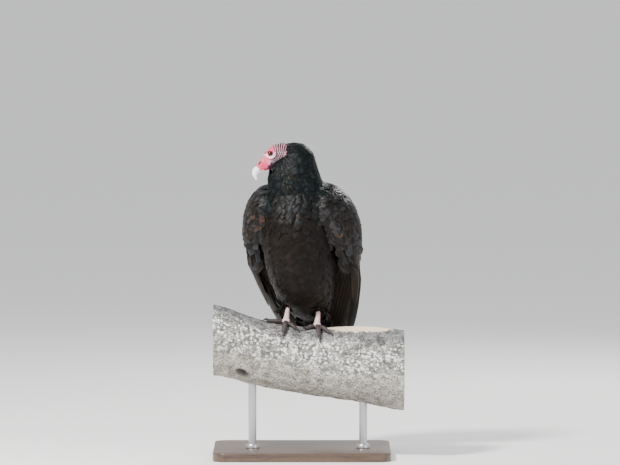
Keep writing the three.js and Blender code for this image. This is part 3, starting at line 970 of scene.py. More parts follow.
def feathered(name, chosen, seed, vane, length, slim, material, *, swing, wear=0.0,
              sink=0.16, rise=0.03, ruffle=0.5, blend=0.0, cling=0.0):
    """One piece of small feathers at the chosen places of the body. A value is one number, or one
    for each place: sink and rise are the root's depth and the tip's height as shares of the
    length, swing is how far feathers turn aside in degrees, and ruffle how uneven tips are."""
    places, facing, labels = body_places()

    def mine(values):
        return np.broadcast_to(values, len(chosen))[chosen]

    length, slim, wear, blend, sink, rise = (
        mine(v) for v in (length, slim, wear, blend, sink, rise))
    places, facing, labels = places[chosen], facing[chosen], labels[chosen]
    coat = Coat(seed)
    random = coat.random
    n = len(places)
    length = length * random.uniform(0.86, 1.14, n)
    way = headings(labels, places)
    swung = np.radians(random.normal(0, swing, n))[:, None]
    way = way * np.cos(swung) + np.cross(facing, way) * np.sin(swung)
    lifts = length * (rise + 0.03 * ruffle * random.random(n) ** 2)
    centre, up = combed(places, way, length, vane.rows, length * sink, lifts, cling)
    width = length * slim * random.uniform(0.9, 1.1, n)
    blend = np.clip(blend + random.normal(0, 0.15, n) * (blend > 0.01) * (blend < 0.99), 0, 1)
    coat.add(vane, centre, up, width, random.random(n), wear * random.uniform(0.5, 1.0, n),
             unwrapped(places), blend=blend)
    shown(coat.mesh(name), name, material)


@shared
def front_plumage():
    """The plumage of neck and breast: blue-black above, passing into brown-black below."""
    tones = settings("plumage")
    return plumage("front_plumage", tuple(tones.ruff), second=tuple(tones.breast), brown=0.5,
                   edge=0.6, gloss=0.36, shine=0.10, painted_glint=(0.016, 0.024, 0.026), painted_glint_share=0.6,
                   rachis=0.2, worn=(0.20, 0.145, 0.065))


def front_blend(local):
    """0 where the ruff's colour rules, 1 where the breast's does."""
    return soft(-local[:, 2] + 0.10 * local[:, 1], -345, -235)


# Where straw-tipped feathers run down the front of the throat, and how far they reach, in metres
STRAW_X, STRAW_Z = (-0.036, 0.015), (0.642, 0.024)
STRAW_FACING = -0.3


def make_ruff():
    tones = settings("plumage")
    places, facing, labels = body_places()
    local = into(BIRD, places)
    neck = labels == "neck"
    near = soft(from_face(local), 34, 100)
    length = tones.ruff_length * (0.36 + 0.70 * near)
    upper = local[:, 2] > RUFF_SEAM
    throat = hump(places[:, 0], *STRAW_X) * hump(places[:, 2], *STRAW_Z)
    some = np.random.default_rng(13).random(len(local)) > 0.4
    straw = 1.8 * throat * (facing[:, 1] < STRAW_FACING) * some
    for name, chosen, seed, slim, swing in (
            ("ruff_upper", neck & upper, 11, 0.44, 9), ("ruff_lower", neck & ~upper, 12, 0.48, 12)):
        feathered(name, chosen, seed, POINTED, length, slim + 0.20 * (1 - near),
                  front_plumage(),
                  sink=0.03 + 0.13 * near, rise=0.13 - 0.09 * near, swing=swing,
                  wear=straw, blend=front_blend(local), cling=0.9)


def make_breast():
    tones = settings("plumage")
    places, _, labels = body_places()
    local = into(BIRD, places)
    trunk = labels == "trunk"
    high = soft(local[:, 2], 215, 300)
    length = tones.breast_length * (1 - 0.30 * high)
    for name, lo, hi, seed in (("breast_feathers", 190, 400, 21), ("belly_feathers", 80, 190, 22),
                               ("vent_feathers", -200, 80, 23)):
        chosen = trunk & (local[:, 2] > lo) & (local[:, 2] <= hi)
        feathered(name, chosen, seed, CONTOUR, length, 0.50, front_plumage(),
                  swing=14, ruffle=1.2, rise=0.02, blend=front_blend(local), cling=0.5)


def make_back():
    tones = settings("plumage")
    labels = body_places()[2]
    black = plumage("back_plumage", tuple(tones.back), brown=0.5, edge=0.25, gloss=0.42,
                    shine=0.18, painted_glint=(0.008, 0.012, 0.014), worn=tuple(tones.worn))
    feathered("back_feathers", labels == "back", 31, CONTOUR, tones.back_length, 0.52, black,
              wear=0.5, sink=0.15, swing=8)


@shared
def shank_top(side):
    """The middle of the shank's upper end."""
    shank = copied((f"tarsus_{side}",))
    points = np.array([vertex.co for vertex in shank.verts])
    shank.free()
    return points[points[:, 2] > points[:, 2].max() - 0.004].mean(0)


# Rings of feathers round each shank's top: how many, how long, and how far out, in metres
LEG_RINGS = ((12, 0.024, 0.0070), (14, 0.030, 0.0090))


def add_leg_feathers(coat, side):
    """Feathers that hang down round the upper end of one shank."""
    random = coat.random
    top = shank_top(side)
    down = unit(foot_place(side) - top)
    level = unit(np.cross(down, (1.0, 0.0, 0.0)))
    share = np.linspace(0, 1, POINTED.rows)[None, :, None]
    for count, long, out in LEG_RINGS:
        around = (np.arange(count) + random.uniform(-0.25, 0.25, count)) * 2 * math.pi / count
        outward = np.cos(around)[:, None] * level + np.sin(around)[:, None] * np.cross(down, level)
        reach = (long * random.uniform(0.75, 1.15, count))[:, None, None]
        centre = (top + outward[:, None] * (out - 0.003 * share ** 2)
                  + down * (reach * share - 0.010))
        up = np.broadcast_to(outward[:, None], centre.shape)
        coat.add(POINTED, centre, up, reach[:, 0, 0] * 0.5, random.random(count),
                 np.zeros(count), unwrapped(centre[:, 0]))


def make_thighs():
    tones = settings("plumage")
    labels = body_places()[2]
    sooty = plumage("thigh_plumage", tuple(tones.breast), brown=0.7, gloss=0.5, shine=0.15,
                    painted_glint=(0.020, 0.017, 0.011), painted_glint_share=0.4, rachis=0.2)
    feathered("thigh_feathers", np.char.startswith(labels, "thigh"), 41, CONTOUR,
              tones.thigh_length, 0.46, sooty, swing=12, ruffle=1.0)
    coat = Coat(42)
    for side in SIDES:
        add_leg_feathers(coat, side)
    shown(coat.mesh("leg_feathers"), "leg_feathers", sooty)


def wing_shafts(side, root, tip, lift, rows, roll=0.0):
    """Shafts on the folded wing from (t, f) to (t, f), with a height in mm at root and tip, and
    a turn in degrees of each vane's face towards the wing's front edge."""
    field = wing_field()
    share = row_shares(rows)
    t = root[0][:, None] + (tip[0] - root[0])[:, None] * share
    f = root[1][:, None] + (tip[1] - root[1])[:, None] * share
    points = field.at(t, f)
    up = field.out(t, f)
    ahead = unit(field.at(t, np.minimum(f, 0.99)) - field.at(t, np.minimum(f, 0.99) - 0.04))
    turned = np.radians(np.broadcast_to(roll, len(t)))[:, None, None]
    up = unit(up * np.cos(turned) + ahead * np.sin(turned))
    height = lift[0][:, None] + (lift[1] - lift[0])[:, None] * share
    points = points + up * height[..., None]
    flip = np.array((1 if side == "left" else -1, 1, 1))
    turned = np.array(BIRD)[:3, :3]
    return out_of(BIRD, points * flip), (up * flip) @ turned.T


def even_places(t, f0, f1, gap):
    """Places along a line across the wing at t, from f0 to f1, a gap in mm apart."""
    fine = np.linspace(f0, f1, 80)
    line = wing_field().at(np.full(80, t), fine)
    run = np.concatenate([[0], np.cumsum(np.linalg.norm(np.diff(line, axis=0), axis=1))])
    count = max(2, int(run[-1] / gap) + 1)
    return np.interp(np.linspace(0, run[-1], count), run, fine)


# The rows of larger coverts, from the shoulder down
COVERT_ROWS = (
    # t of the root, last f, gap, length, width, height at root and tip in mm, wear
    (0.225, 0.99, 11.0, 34, 19, -5.0, 0.6, 0.7),
    (0.262, 0.99, 11.5, 36, 20, -5.0, 0.9, 0.8),
    (0.300, 0.99, 12.0, 38, 21, -5.0, 0.8, 0.9),
    (0.338, 0.99, 12.5, 42, 22, -5.5, 0.7, 1.0),
    (0.376, 0.99, 13.0, 48, 23, -5.5, 0.5, 1.0),
    (0.412, 0.995, 13.5, 58, 24, -6.0, 0.2, 0.9),
)
FIRST_F, LAST_F = 0.05, 0.995


def add_large_coverts(coat, side, old):
    """Rows of larger coverts. Old says how many of them are worn and brown."""
    random = coat.random
    for number, (t, f1, gap, long, wide, deep, high, wear) in enumerate(COVERT_ROWS):
        f = even_places(t, FIRST_F, f1, gap)
        step = f[1] - f[0]
        f = f + (0.5 * (number % 2) + random.uniform(-0.2, 0.2, len(f))) * step
        f = np.clip(f, 0, LAST_F)
        n = len(f)
        at_front = soft(f, 0.82, 0.97)
        reach = long * random.uniform(0.92, 1.08, n) * (1 - 0.22 * at_front)
        t0 = t + random.uniform(-0.006, 0.006, n)
        tip = (t0 + reach / WingField.LENGTH, np.clip(f + random.normal(0, 0.008, n), 0, 1))
        lift = (np.full(n, deep), high + random.uniform(0, 1.6, n) + 0.02 * np.arange(n))
        centre, up = wing_shafts(side, (t0, f), tip, lift, COVERT.rows)
        width = wide * MM * (1 - 0.25 * at_front) * random.uniform(0.92, 1.08, n)
        tint = random.random(n)
        worn = old * wear * random.random(n) * (1 - 0.6 * soft(f, 0.78, 0.9))
        brown = 0.75 * (random.random(n) > 1 - 0.28 * old) * (at_front == 0)
        coat.add(COVERT, centre, up, width, tint, worn, np.stack([0.02 + 0.9 * f, t0], 1),
                 patch=0.006, blend=brown)


def make_coverts():
    tones = settings("plumage")
    places, _, labels = body_places()
    local = into(BIRD, places)
    # The glint colour lightens a few of these feathers: painted highlights
    mottled = plumage("covert_plumage", tuple(tones.wing), second=tuple(tones.brown), brown=0.5,
                      edge=0.75, gloss=0.32, shine=0.15, painted_glint=(0.034, 0.034, 0.039),
                      painted_glint_share=0.75, worn=tuple(tones.worn))
    # Brown feathers lie in patches, most of them low on the wing and at the right wrist
    front = edge_y(local[:, 2]) + 42 - local[:, 1]
    small = 1 - 0.35 * soft(front, -25, 20)
    low = soft(-local[:, 2], -330, -200)
    wrist = hump(local[:, 2], 268, 30) * soft(front, -40, 10) * (local[:, 0] < 0)
    patch = soft(wobble(local, 20, 12.0, 2) + 0.22 * low + 0.45 * wrist - 0.2, 0.22, 0.6)
    fleck = np.random.default_rng(52).random(len(local)) > 0.45
    length = tones.covert_length * (0.66 + 0.20 * low) * small
    for side, old in (("left", 1.0), ("right", 0.6)):
        feathered(f"wing_{side}_small_coverts", labels == f"wing_{side}_coverts", 51 + len(side),
                  COVERT, length, 0.60, mottled, sink=0.15, rise=0.02,
                  wear=0.10 + 0.35 * low + 0.35 * patch, swing=9, ruffle=1.0,
                  blend=0.75 * patch * fleck)
        coat = Coat(61 + len(side))
        add_large_coverts(coat, side, old)
        name = f"wing_{side}_large_coverts"
        shown(coat.mesh(name), name, mottled)


QUILL = Vane((0.34, 0.62, 0.80, 0.90, 0.95, 0.98, 1.0, 1.0, 0.98, 0.95, 0.90, 0.80, 0.62, 0.30),
             columns=9, tip=0.035, cup=0.10, thick=1.0, ragged=0.022)


def add_quills(coat, side, root, tip, lift, width, wear, roll=0.0):
    """One row of long feathers on the folded wing, from (t, f) to (t, f)."""
    centre, up = wing_shafts(side, root, tip, lift, QUILL.rows, roll)
    n = len(centre)
    coat.add(QUILL, centre, up, width, coat.random.random(n), coat.random.uniform(*wear, n),
             np.stack([0.1 + 0.8 * root[1], root[0]], 1), patch=0.03)


def add_secondaries(coat, side):
    i = np.linspace(0, 1, 13)
    scatter = coat.random.uniform(-0.006, 0.006, len(i))
    over = 0.7 * (side == "left") * i ** 4
    add_quills(coat, side, (0.33 - 0.03 * i, 0.72 - 0.69 * i),
               (0.80 - 0.07 * i ** 1.5 + scatter, 0.66 - 0.645 * i),
               (-7.5 + 3.5 * i + over, -3.6 + 4.4 * i + over), np.full(len(i), 0.036), (0.3, 0.8))


# How far down the wing each primary's tip reaches, from the front edge inwards
PRIMARY_TIPS = np.array((0.900, 0.945, 0.975, 0.99, 0.985, 0.965, 0.94, 0.91, 0.88, 0.85))


def add_primaries(coat, side):
    """The ten primaries, and the primary coverts over the first of them."""
    i = np.linspace(0, 1, len(PRIMARY_TIPS))
    add_quills(coat, side, (0.37 - 0.02 * i, 0.965 - 0.30 * i), (PRIMARY_TIPS, 0.90 - 0.62 * i),
               (-9.0 + 2.5 * i, -8.0 + 6.5 * i), np.linspace(0.022, 0.030, len(i)), (0.5, 1.0),
               roll=70 * np.clip(1 - 2.6 * i, 0, 1))
    i = np.linspace(0, 1, 8)
    scatter = coat.random.uniform(-0.006, 0.006, len(i))
    add_quills(coat, side, (0.36 + 0.010 * i, 0.985 - 0.20 * i),
               (0.66 - 0.12 * i + scatter, 0.955 - 0.17 * i),
               (-6.0 + 0.8 * i, -2.0 + 2.6 * i), np.linspace(0.016, 0.021, len(i)), (0.6, 1.0),
               roll=60 * (1 - i) ** 1.5)


def make_flight():
    tones = settings("plumage")
    dark = plumage("flight_plumage", tuple(tones.flight), brown=0.5, edge=0.6, gloss=0.38,
                   shine=0.22, painted_glint=(0.020, 0.018, 0.016), painted_glint_share=0.35,
                   worn=tuple(tones.worn), barbs=150.0, silver=tuple(tones.silver))
    kinds = (("secondary_feathers", "secondaries", 71, add_secondaries),
             ("primary_feathers", "primaries", 81, add_primaries))
    for side in SIDES:
        for piece, node, seed, add in kinds:
            coat = Coat(seed + len(side))
            add(coat, side)
            name = f"wing_{side}_{piece}"
            shown(coat.mesh(name), name, dark, replaces=(f"wing_{side}_{node}",))


# The tail's root as bird y and z, its length, and how steeply it slopes down
TAIL_ROOT = (96.0, 44.0)
TAIL_LENGTH, TAIL_TILT = 250.0, math.radians(56)


def tail_fan(coat, n, root, length, wide, lift, width):
    """A fan of quills from the root back along the tail, lifted off it in mm."""
    random = coat.random
    i = np.arange(n) - (n - 1) / 2
    side = i / i[-1]
    share = row_shares(QUILL.rows)[None]
    reach = (length - 12 * side[:, None] ** 2) * share
    across = side[:, None] * (wide[0] + wide[1] * share ** 0.8)
    rise = lift + 3.6 - 8.5 * (across / 49) ** 2 - 0.55 * np.abs(i)[:, None] - 1.5 * share
    back, down = math.cos(TAIL_TILT), math.sin(TAIL_TILT)
    y = root[0] + reach * back + rise * down
    z = root[1] - reach * down + rise * back
    centre = out_of(BIRD, np.stack([across, y, z], -1))
    lean = np.radians(-14 * side)[:, None] * np.ones_like(share)
    up = np.stack([np.sin(lean), np.cos(lean) * down, np.cos(lean) * back], -1)
    up = up @ np.array(BIRD)[:3, :3].T
    coat.add(QUILL, centre, up, np.full(n, width), random.random(n),
             random.uniform(0.4, 0.9, n), np.stack([0.5 + 0.4 * side, np.full(n, 0.5)], 1),
             patch=0.03)


def make_tail():
    tones = settings("plumage")
    dark = plumage("tail_plumage", tuple(tones.flight), brown=0.45, edge=0.45, gloss=0.40,
                   shine=0.2, painted_glint=(0.016, 0.015, 0.014), painted_glint_share=0.3, worn=tuple(tones.worn),
                   barbs=150.0, silver=tuple(tones.silver))
    coat = Coat(91)
    tail_fan(coat, 12, TAIL_ROOT, TAIL_LENGTH - 2, (17, 18), 0.0, 0.028)
    rump = (TAIL_ROOT[0] - 50 * math.cos(TAIL_TILT), TAIL_ROOT[1] + 50 * math.sin(TAIL_TILT))
    tail_fan(coat, 9, rump, 165, (14, 20), 5.0, 0.026)
    shown(coat.mesh("tail_feathers"), "tail_feathers", dark,
          replaces=("tail",))


# ---------------------------------------------------------------- skin, head and feet

def distance_to(names, points):
    whole = copied(names)
    tree = BVHTree.FromBMesh(whole)
    far = np.array([tree.find_nearest(Vector(p))[3] for p in points]) / MM
    whole.free()
    return far


def refined(mesh, wanted):
    """Splits each edge inside the wanted places in two."""
    inside = wanted(positions(mesh))
    bm = bmesh.new()
    bm.from_mesh(mesh)
    bm.verts.ensure_lookup_table()
    edges = [e for e in bm.edges if inside[e.verts[0].index] and inside[e.verts[1].index]]
    bmesh.ops.subdivide_edges(bm, edges=edges, cuts=1, use_grid_fill=True)
    bm.to_mesh(mesh)
    bm.free()
    return mesh


def eye_place(head):
    """How far a place of the head lies from the nearer eye's middle, and in which direction."""
    x, z = head[:, 0] - EYE_X, head[:, 2] - EYE_Z
    return np.hypot(x, z), np.arctan2(z, x)


def ridge(value, period, sharp=1.0):
    """Waves from 0 to 1 with their crests a period apart."""
    wave = 0.5 + 0.5 * np.cos(2 * math.pi * value / period)
    return wave ** sharp


def folded_plane(head):
    """How far back over the head a place lies, and how high, in the tilted plane in which the
    crown's folds stand upright."""
    x, y, z = head.T
    return (-0.77 * x - 0.50 * z + 0.40 * np.abs(y), -0.51 * x + 0.85 * z + 0.09 * np.abs(y))


# The place, back over the head and up, from which the crown's folds fan out
FAN = np.array((21.0, -34.0))


def crown_folds(head, drift):
    """The crown's folds: they fan out upwards from below the ear, and cross behind it."""
    back, up = folded_plane(head)
    back = back + 0.22 * drift
    fan = np.arctan2(back - FAN[0], up - FAN[1])
    first = ridge(fan, 0.100, 4.6)
    forward = ridge(back - 0.42 * up, 4.8, 5.0)
    backward = ridge(back + 0.46 * up, 4.8, 5.0)
    crossing = soft(-up, -8, -1) * soft(back, 15, 20)
    return first * (1 - crossing) + np.maximum(forward, backward) * crossing


def crown_zone(head):
    back, _ = folded_plane(head)
    return soft(back, 4.5, 9.5) * soft(head[:, 2], -26, -17)


# The nostril's middle as head x and z, and the way its slit runs
NOSTRIL = np.array((34.2, -4.6))
NOSTRIL_AXIS = np.array((0.872, -0.49))


def nostril(head):
    """0 outside the nostril, 1 in its middle."""
    off = head[:, (0, 2)] - NOSTRIL
    long = off @ unit(NOSTRIL_AXIS)
    wide = off @ unit(np.array((-NOSTRIL_AXIS[1], NOSTRIL_AXIS[0])))
    return 1 - soft(np.hypot(long / 6.6, wide / 2.3), 0.62, 1.12)


def gape_line(head):
    """Height above the mouth's line, which runs back from the bill to below the eye."""
    return head[:, 2] - np.interp(head[:, 0], (16, 22, 30, 40), (-25.5, -24.5, -22.8, -21.5))


class Face:
    """Places of the head in its own frame, and the measures that its folds and colours follow."""

    def __init__(self, points):
        self.head = into(HEAD, points)
        self.x, self.y, self.z = self.head.T
        self.r, self.angle = eye_place(self.head)
        self.back, self.up = folded_plane(self.head)
        self.drift = wobble(self.head, 9.0, 1.0, 2) * 2.0
        self.line = gape_line(self.head)
        self.far = distance_to(("head",), points)
        self.beside = np.abs(self.y) > 4


# The folds that ring the eye: how far each lies from its middle, and its height, in mm
EYE_FOLDS = ((7.4, 0.55), (9.4, 0.75), (12.0, 0.55), (16.5, 0.5))


def crown_relief(face):
    """The folds of crown and nape, and the fine wrinkles and small lumps of the forehead."""
    x, r = face.x, face.r
    folds = (crown_folds(face.head, face.drift) - 0.30) * 1.2
    yield folds * crown_zone(face.head) * bare_face(face.head)
    fine = ridge(x * 0.9 + face.drift + 0.25 * face.z, 2.6) - 0.5
    yield 0.28 * fine * soft(x, -6, 6) * (1 - soft(x, 32, 40)) * soft(r, 9, 13)
    lumps = soft(wobble(face.head, 2.6, 15.0, 2), 0.0, 0.5)
    yield 0.55 * lumps * soft(x, 6, 14) * (1 - soft(x, 36, 41)) * soft(r, 8, 11)


def eye_relief(face):
    """Folds that ring the eye, deepest below and behind it, the brow, and warts before it."""
    r, angle, drift = face.r, face.angle, face.drift
    low = 0.5 - 0.5 * np.sin(angle - 0.5)
    for ring, high in EYE_FOLDS:
        yield high * low * hump(r + drift * 0.25, ring, 0.8) * face.beside
    yield -0.9 * low * hump(r + drift * 0.3, 14.2, 1.1) * face.beside
    brow = hump(r, 8.2, 2.2) * soft(np.sin(angle - 0.5), 0.15, 0.8)
    yield 1.3 * brow * face.beside
    warts = soft(wobble(face.head, 1.5, 5.0, 1), 0.12, 0.55)
    warty = soft(r, 6.5, 8.5) * (1 - soft(r, 14, 18)) * soft(-np.sin(angle - 0.3), -0.3, 0.3)
    yield 0.8 * warts * warty * face.beside


def mouth_relief(face):
    """The mouth's line and the swelling above it, the nostrils, and the step where the soft cere
    ends at the horn."""
    x, line = face.x, face.line
    yield -1.0 * hump(line, 0, 0.9) * soft(x, 17, 22) * face.beside
    yield 0.7 * hump(line, 3.4, 2.4) * soft(x, 18, 24) * face.beside
    hollow, flank = nostril(face.head), soft(np.abs(face.y), 1.2, 3.4)
    yield -1.5 * hollow * flank
    yield 0.5 * hump(hollow, 0.12, 0.1) * flank * (x > 24)
    yield 0.5 * hump(x, 41.5, 1.6)


def with_lids(head, far):
    """Lids that close round the eyeball, which looks out through a slightly oval slit."""
    for sign in (1, -1):
        off = head - (EYE_X, sign * EYE_OUT, EYE_Z)
        open_ = np.hypot(off[:, 0] * 0.95, (off[:, 2] - 0.2) * 1.16)
        outward = (off[:, 1] * sign > -1.0) & (far < 8)
        deep = np.linalg.norm(off, axis=1)
        shell = EYE_RADIUS + 0.45 + 0.65 * hump(open_, 5.2, 0.85)
        grown = 0.5 * (deep + shell + np.sqrt((deep - shell) ** 2 + 0.5))
        grown = np.where(outward & (deep < EYE_RADIUS + 3.5), grown, deep)
        hole = (1 - soft(open_, 3.9, 4.6)) * outward * (off[:, 1] * sign > 1)
        head = head + off * ((grown / np.maximum(deep, 0.1) - 1)[:, None])
        head[:, 1] = head[:, 1] * (1 - hole) + sign * 7.8 * hole
    return head


def sculpt_head(mesh):
    """Works the relief and the lids into the head's smooth skin."""
    face = Face(positions(mesh))
    relief = sum((*crown_relief(face), *eye_relief(face), *mouth_relief(face)))
    on_head = 1 - soft(face.far, 1.5, 5)
    head = face.head + into_direction(HEAD, normals(mesh)) * (relief * on_head)[:, None]
    move(mesh, out_of(HEAD, with_lids(head, face.far)))
    return mesh


def into_direction(matrix, vectors):
    turned = np.array(matrix.inverted())[:3, :3]
    return unit(vectors @ turned.T)


def head_part():
    names = ("head", "neck", "eye_left", "eye_right")
    mesh = smoothed(remeshed(mesh_from(copied(names), "head_part"), 0.00145), 22)

    def wanted(points):
        head = into(HEAD, points)
        return ((head[:, 0] > -33) & (np.abs(head[:, 1]) < 23) & (head[:, 2] > -36)
                & (head[:, 2] < 24))

    mesh = smoothed(refined(mesh, wanted), 3)
    points, facing = positions(mesh), normals(mesh)
    inset = soft(distance_to(("head",), points), 2.5, 11) * settings("skin").coat_depth
    move(mesh, points - facing * inset[:, None])
    return sculpt_head(mesh)


def foot_place(side):
    """Where a shank meets its toes."""
    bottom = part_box(f"tarsus_{side}")[0].z
    return np.array((FOOT_X[side] * MM, LIMB_Y * MM - 0.005, bottom + 0.006))


def leg_part():
    """Slim shanks with scales down the front, and toes with broad scales across them."""
    mesh = smoothed(remeshed(mesh_from(copied(LEG_NODES), "leg_part"), 0.00115), 8)
    points, facing = positions(mesh), normals(mesh)
    lift = np.zeros(len(points))
    for side in SIDES:
        foot = foot_place(side)
        off = (points - foot) / MM
        near = np.linalg.norm(off, axis=1)
        mine = np.abs(off[:, 0]) < 60 if side == "left" else off[:, 0] < 30
        toe = soft(near, 11, 15) * (off[:, 2] < 14) * mine
        lift = np.where(toe > 0, (ridge(near, 3.4, 0.6) - 0.55) * 0.75 * toe
                        * soft(facing[:, 2], -0.2, 0.4), lift)
        top = shank_top(side)
        share = (points[:, 2] - foot[2]) / (top[2] - foot[2])
        axis = foot + (top - foot) * share[:, None]
        aside = (points - axis) * (1, 1, 0)
        slim = 0.22 * soft(share, 0.15, 0.7) * (np.linalg.norm(aside, axis=1) < 0.016)
        points = points - aside * slim[:, None]
    shank = soft(points[:, 2], 0.310, 0.316)
    x, _, z = points.T / MM
    scale = ridge(z, 4.2, 0.5) * ridge(x + z * 0.3, 5.0, 0.5)
    lift = lift * (1 - shank) + (scale - 0.5) * 0.5 * shank * soft(-facing[:, 1], -0.2, 0.5)
    move(mesh, points + facing * (lift * MM)[:, None])
    return mesh


def body_part():
    names = [name for name in BODY_NODES if name != "neck"]
    mesh = smoothed(remeshed(mesh_from(copied(names), "body_part"), 0.0042), 8)
    move(mesh, positions(mesh) - normals(mesh) * settings("skin").coat_depth)
    return smoothed(remeshed(mesh, 0.0042), 4)


def lay(under, share, over):
    """One colour laid over another, as far as the share at each place says."""
    share = np.clip(share, 0, 1)[:, None]
    return under * (1 - share) + over * share


# Colours of the face's smaller markings, with painted highlights on the pale lumps, and painted shade
# under the chin and in the nostril
PALE_LUMP_HIGHLIGHT, DEEP_PINK, TEMPLE = (0.90, 0.48, 0.52), (0.62, 0.06, 0.12), (0.45, 0.09, 0.15)
MAROON = (0.17, 0.010, 0.032)
EAR_FURROW, EAR_FOLD = np.array((0.030, 0.022, 0.030)), np.array((0.30, 0.235, 0.275))
LILAC, OLIVE, LAVENDER = (0.50, 0.36, 0.42), (0.30, 0.24, 0.17), (0.56, 0.49, 0.66)
CHIN_SHADE, NOSTRIL_SHADE, LID_RIM = (0.006, 0.004, 0.010), (0.035, 0.003, 0.005), (0.13, 0.006, 0.014)


def face_colours(face, tone):
    """The bare skin's colour: each layer's share and colour are laid over the ones before."""
    x, z, r, angle, back, up = face.x, face.z, face.r, face.angle, face.back, face.up
    patch = wobble(face.head, 4.5, 3.0, 3)
    mottle = 1 + 0.15 * patch[:, None]
    speckle = wobble(face.head, 2.2, 11.0, 2)
    count = len(x)

    def spot(place, reach):
        return np.exp(-(((x - place[0]) / reach[0]) ** 2 + ((z - place[1]) / reach[1]) ** 2))

    def towards(degrees):
        return np.cos(angle - math.radians(degrees))

    # Crown: thin pale folds over maroon, darker towards the nape
    folds = crown_folds(face.head, face.drift)
    dark = lay(np.tile(MAROON, (count, 1)), soft(back, 7, 20), tone["furrow"])
    stripes = dark + (tone["crown"] - dark) * soft(folds, 0.12, 0.8)[:, None]
    dim = 1 - 0.45 * soft(-up, -3, 10) * soft(back, 10, 20)
    stripes = stripes * (dim * (1 + 0.2 * patch))[:, None]
    # Below the ear the folds turn grey-lilac over black
    below_ear = soft(-z, 11, 16) * (1 - soft(x, 11, 18)) * soft(r, 12, 15)
    below_ear = below_ear * (1 - soft(back, 16, 22))
    wrinkle = ridge(r + 0.5 * face.drift, 3.8, 1.6)[:, None]
    # The pale ring round the eye narrows in front and turns lavender behind
    around = soft(-towards(108), -0.6, 0.3)
    narrow = 1 - 0.45 * soft(towards(20), 0.2, 0.95)
    ring = (1 - soft(np.abs(r + 0.35 * patch - 8.5), 1.7 * narrow, 3.2 * narrow)) * around
    pale = lay(tone["eye_ring"] * mottle, 0.75 * soft(towards(-147), 0.3, 0.95), LAVENDER)
    crescent = hump(r + 0.4 * patch, 13.4, 1.5) * soft(towards(-118), 0.45, 0.85)
    gape = np.maximum(spot((19.5, -24.5), (5.2, 5.0)), 0.9 * spot((15.0, -21.0), (4.2, 4.0)))
    layers = (
        # Pale lumps on forehead and bridge, pale in their own colour and with painted highlights
        # where they catch the light, above a deep pink cheek
        (0.42 * soft(speckle, 0.0, 0.5) * soft(x, 4, 12), PALE_LUMP_HIGHLIGHT),
        (0.55 * soft(-speckle, 0.1, 0.5) * soft(x, 4, 12), DEEP_PINK),
        (1.1 * spot((31.5, -15), (8.5, 7.0)), tone["cheek"]),
        (0.55 * soft(-up, -4, -16) * spot((0, 8), (8, 6)), TEMPLE),
        (soft(back, 5.0, 9.5), stripes),
        (below_ear, EAR_FURROW * (1 - wrinkle) + EAR_FOLD * wrinkle),
        # Under the eye lilac skin passes through grey into the dark corner of the mouth
        (0.9 * spot((16.5, -14), (4.6, 4.5)), LILAC),
        (0.75 * spot((10.5, -12.5), (3.2, 2.6)), OLIVE),
        (ring, pale),
        (0.95 * crescent, tone["furrow"] * 0.5),
        (soft(-face.line, -1.6, 1.6) * soft(x, 16, 22), tone["jaw"]),
        (soft(1.7 * gape + 0.6 * patch, 0.35, 1.05), tone["corner"]),
        # Near-black under the jaw and behind it, in the chin and throat colours: painted shade
        # beneath the head
        (soft(-z + 0.35 * x + 1.2 * patch, 25.5, 29.5) * (1 - soft(x, 22, 27)), CHIN_SHADE),
        (soft(-z, 20, 23) * (1 - soft(x, 13, 18)), tone["throat"]),
        # The nostril's hollow: dark red skin, with painted shade inside it
        (nostril(face.head) * 0.97 * soft(np.abs(face.y), 1.0, 2.6), NOSTRIL_SHADE),
        (0.9 * hump(r, 5.0, 1.25), LID_RIM),
    )
    skin = np.tile(tone["forehead"], (count, 1)) * mottle
    for share, over in layers:
        skin = lay(skin, share, np.asarray(over))
    return skin


def hide_colours(points):
    """The colour of the skin at each place, and where feathers cover it."""
    tones = settings("skin")
    tone = {key: np.array(getattr(tones, key)) for key in (
        "forehead", "cheek", "eye_ring", "crown", "furrow", "jaw", "corner", "throat", "shank",
        "toes", "body")}
    face = Face(points)
    bare = bare_face(face.head) & (face.far < 6)
    height = into(BIRD, points)[:, 2]
    toes = distance_to([n for n in LEG_NODES if n.startswith("toe")], points)
    legs = distance_to([n for n in LEG_NODES if n.startswith("tarsus")], points)
    speck = wobble(points / MM, 3.0, 8.0, 3)[:, None]
    # Feathered skin is painted near-black, as the shade under the feathers
    skin = lay(face_colours(face, tone), ~bare, tone["throat"])
    skin = lay(skin, soft(-height, -318, -300), tone["body"])
    skin = lay(skin, 1 - soft(legs, 1.0, 2.4), tone["shank"] * (1 + 0.25 * speck))
    skin = lay(skin, (1 - soft(toes, 1.0, 2.2)) * soft(legs, 0.4, 5.0),
               tone["toes"] * (1 + 0.5 * speck))
    return np.clip(skin, 0.001, 1), (height > 40) & ~bare


def make_skin():
    mesh = fused(fused(body_part(), head_part()), leg_part())
    colours, covered = hide_colours(positions(mesh))
    paint(mesh, "Hide", colours)
    paint(mesh, "Under", covered)
    s = Shader("vulture_skin")
    hide = s.attribute("Hide", "Color")
    under = s.attribute("Under")
    place = s.place()
    pores = s.noise(place, 900.0, detail=2.0)
    creases = s.cells(place, 620.0, "DISTANCE_TO_EDGE")
    crease = creases.step(0.0, 0.16)
    tone = s.mix(0.35 * pores.step(0.45, 0.7), hide, (0.85, 0.80, 0.80), "MULTIPLY")
    # Painted shade: the fine creases, which the bump sinks, are darkened a little
    tone = s.mix((1 - crease) * 0.10, tone, (0.35, 0.2, 0.2), "MULTIPLY")
    rough = 0.40 + 0.18 * pores + 0.4 * under
    s.finish(Base_Color=tone, Roughness=rough, Specular_IOR_Level=0.35,
             Subsurface_Weight=0.12, Subsurface_Radius=(0.9, 0.3, 0.2), Subsurface_Scale=0.0025,
             Normal=s.bump(crease * 0.4 + pores * 0.5, 0.4, 0.00025))
    shown(mesh, "skin", s.material, replaces=BODY_NODES + LEG_NODES + ("head",))


# ---------------------------------------------------------------- bill, eyes and claws

